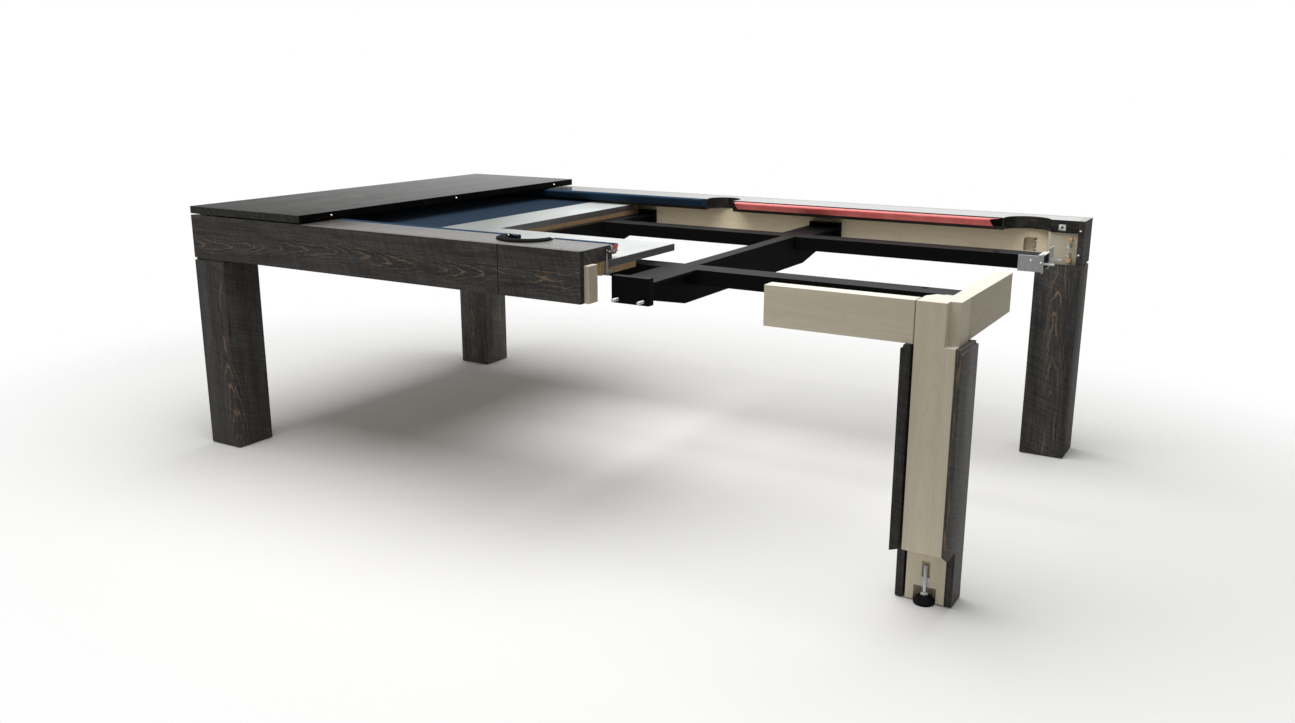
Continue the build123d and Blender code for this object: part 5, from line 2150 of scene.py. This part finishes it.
@dataclass(frozen=True)
class FloorCoat(Finish):
    """A pale matt floor that thins out to nothing away from the table."""

    colour: Colour
    fade: Point
    stretch: float = 0.72
    cloudy: float = 0.985

    def paint(self, graph: Graph) -> None:
        """Thin the floor out by its distance from the middle.

        Args:
            graph: the graph to build on.
        """
        x, y, _ = graph.axes
        x = graph.times(x, self.stretch)
        square = graph.math("MULTIPLY_ADD", x, x, graph.times(y, y))
        away = graph.step(graph.math("SQRT", square), *self.fade)
        cloudy = tuple(self.cloudy * part for part in self.colour)
        colour = graph.mix(graph.cloud(3.0, 3.0, 0.5), cloudy, self.colour)
        graph.set(Base_Color=colour, Roughness=0.9, Specular_IOR_Level=0.1)
        clear = graph.nodes.new("ShaderNodeBsdfTransparent")
        mixed = graph.nodes.new("ShaderNodeMixShader")
        graph.links.new(away, mixed.inputs[0])
        graph.links.new(graph.shader.outputs[0], mixed.inputs[1])
        graph.links.new(clear.outputs[0], mixed.inputs[2])
        graph.links.new(mixed.outputs[0], graph.output.inputs["Surface"])


@dataclass
class Studio:
    """The floor, the lamp, the white surround and the camera."""

    camera_at: Spot = (1.9579, -3.2069, 1.2560)
    yaw: float = 0.5403
    pitch: float = 0.24905
    roll: float = -0.0010
    lens: float = 31.356
    sensor: float = 36.0
    sight: float = 100.0
    ambient: float = 0.285
    softbox_power: float = 148.0
    softbox_size: Point = (3.4, 4.2)
    softbox_at: Spot = (-0.1, -0.35, 3.4)
    floor_half: float = 9.0
    floor_parts: int = 12
    floor_colour: Colour = (0.93, 0.925, 0.91)
    fade: Point = (1.1, 2.3)

    def camera(self) -> None:
        """Stand the camera where the table is seen from."""
        data = bpy.data.cameras.new("camera")
        data.lens = self.lens
        data.sensor_width = self.sensor
        data.sensor_fit = "HORIZONTAL"
        data.clip_end = self.sight
        camera = bpy.data.objects.new("camera", data)
        camera.location = self.camera_at
        camera.rotation_euler = (math.pi / 2 - self.pitch, self.roll, self.yaw)
        bpy.context.scene.collection.objects.link(camera)
        bpy.context.scene.camera = camera

    def surround(self) -> None:
        """Light the table softly all round, and show white wherever the surround itself is seen."""
        world = bpy.data.worlds.new("white_surround")
        bpy.context.scene.world = world
        world.use_nodes = True
        nodes = world.node_tree.nodes
        links = world.node_tree.links
        nodes.clear()
        path = nodes.new("ShaderNodeLightPath")
        seen = path.outputs["Is Camera Ray"]
        for name in ("Is Glossy Ray", "Is Transmission Ray"):
            either = nodes.new("ShaderNodeMath")
            either.operation = "MAXIMUM"
            links.new(seen, either.inputs[0])
            links.new(path.outputs[name], either.inputs[1])
            seen = either.outputs[0]
        level = nodes.new("ShaderNodeMapRange")
        links.new(seen, level.inputs["Value"])
        level.inputs["To Min"].default_value = self.ambient
        level.inputs["To Max"].default_value = 1.0
        white = nodes.new("ShaderNodeBackground")
        white.inputs["Color"].default_value = (1.0, 1.0, 1.0, 1.0)
        links.new(level.outputs[0], white.inputs["Strength"])
        output = nodes.new("ShaderNodeOutputWorld")
        links.new(white.outputs[0], output.inputs["Surface"])

    def lamp(self) -> None:
        """Hang one wide softbox over the table."""
        data = bpy.data.lights.new("softbox", "AREA")
        data.shape = "RECTANGLE"
        data.size, data.size_y = self.softbox_size
        data.energy = self.softbox_power
        lamp = bpy.data.objects.new("softbox", data)
        lamp.location = self.softbox_at
        bpy.context.scene.collection.objects.link(lamp)

    def floor(self) -> None:
        """Lay a pale floor that keeps the shadow and fades out into the surround."""
        half = self.floor_half
        shape = Shape()
        count = self.floor_parts
        rows = []
        for i in range(count + 1):
            x = -half + 2 * half * i / count
            rows.append([Vector((x, -half + 2 * half * k / count, 0.0)) for k in range(count + 1)])
        shape.grid(rows, (False, False), False)
        floor = shape.finish("floor", FloorCoat("pale_floor", self.floor_colour, self.fade))

    def build(self) -> None:
        """Set up the camera, the light and the floor."""
        self.camera()
        self.surround()
        self.lamp()
        self.floor()
        bpy.context.scene.view_settings.view_transform = "Standard"


def main() -> None:
    """Build the studio and every sub-assembly in order."""
    logging.basicConfig(level=logging.INFO, format="%(message)s")
    assemblies = [
        Studio(),
        DiningTop(),
        RailsAndAprons(),
        Cushions(),
        PlayingBed(),
        Pockets(),
        SteelFrame(),
        JointHardware(),
        Legs(),
    ]
    for assembly in assemblies:
        assembly.build()
        LOG.info("%s built", type(assembly).__name__)


if __name__ == "__main__":
    main()
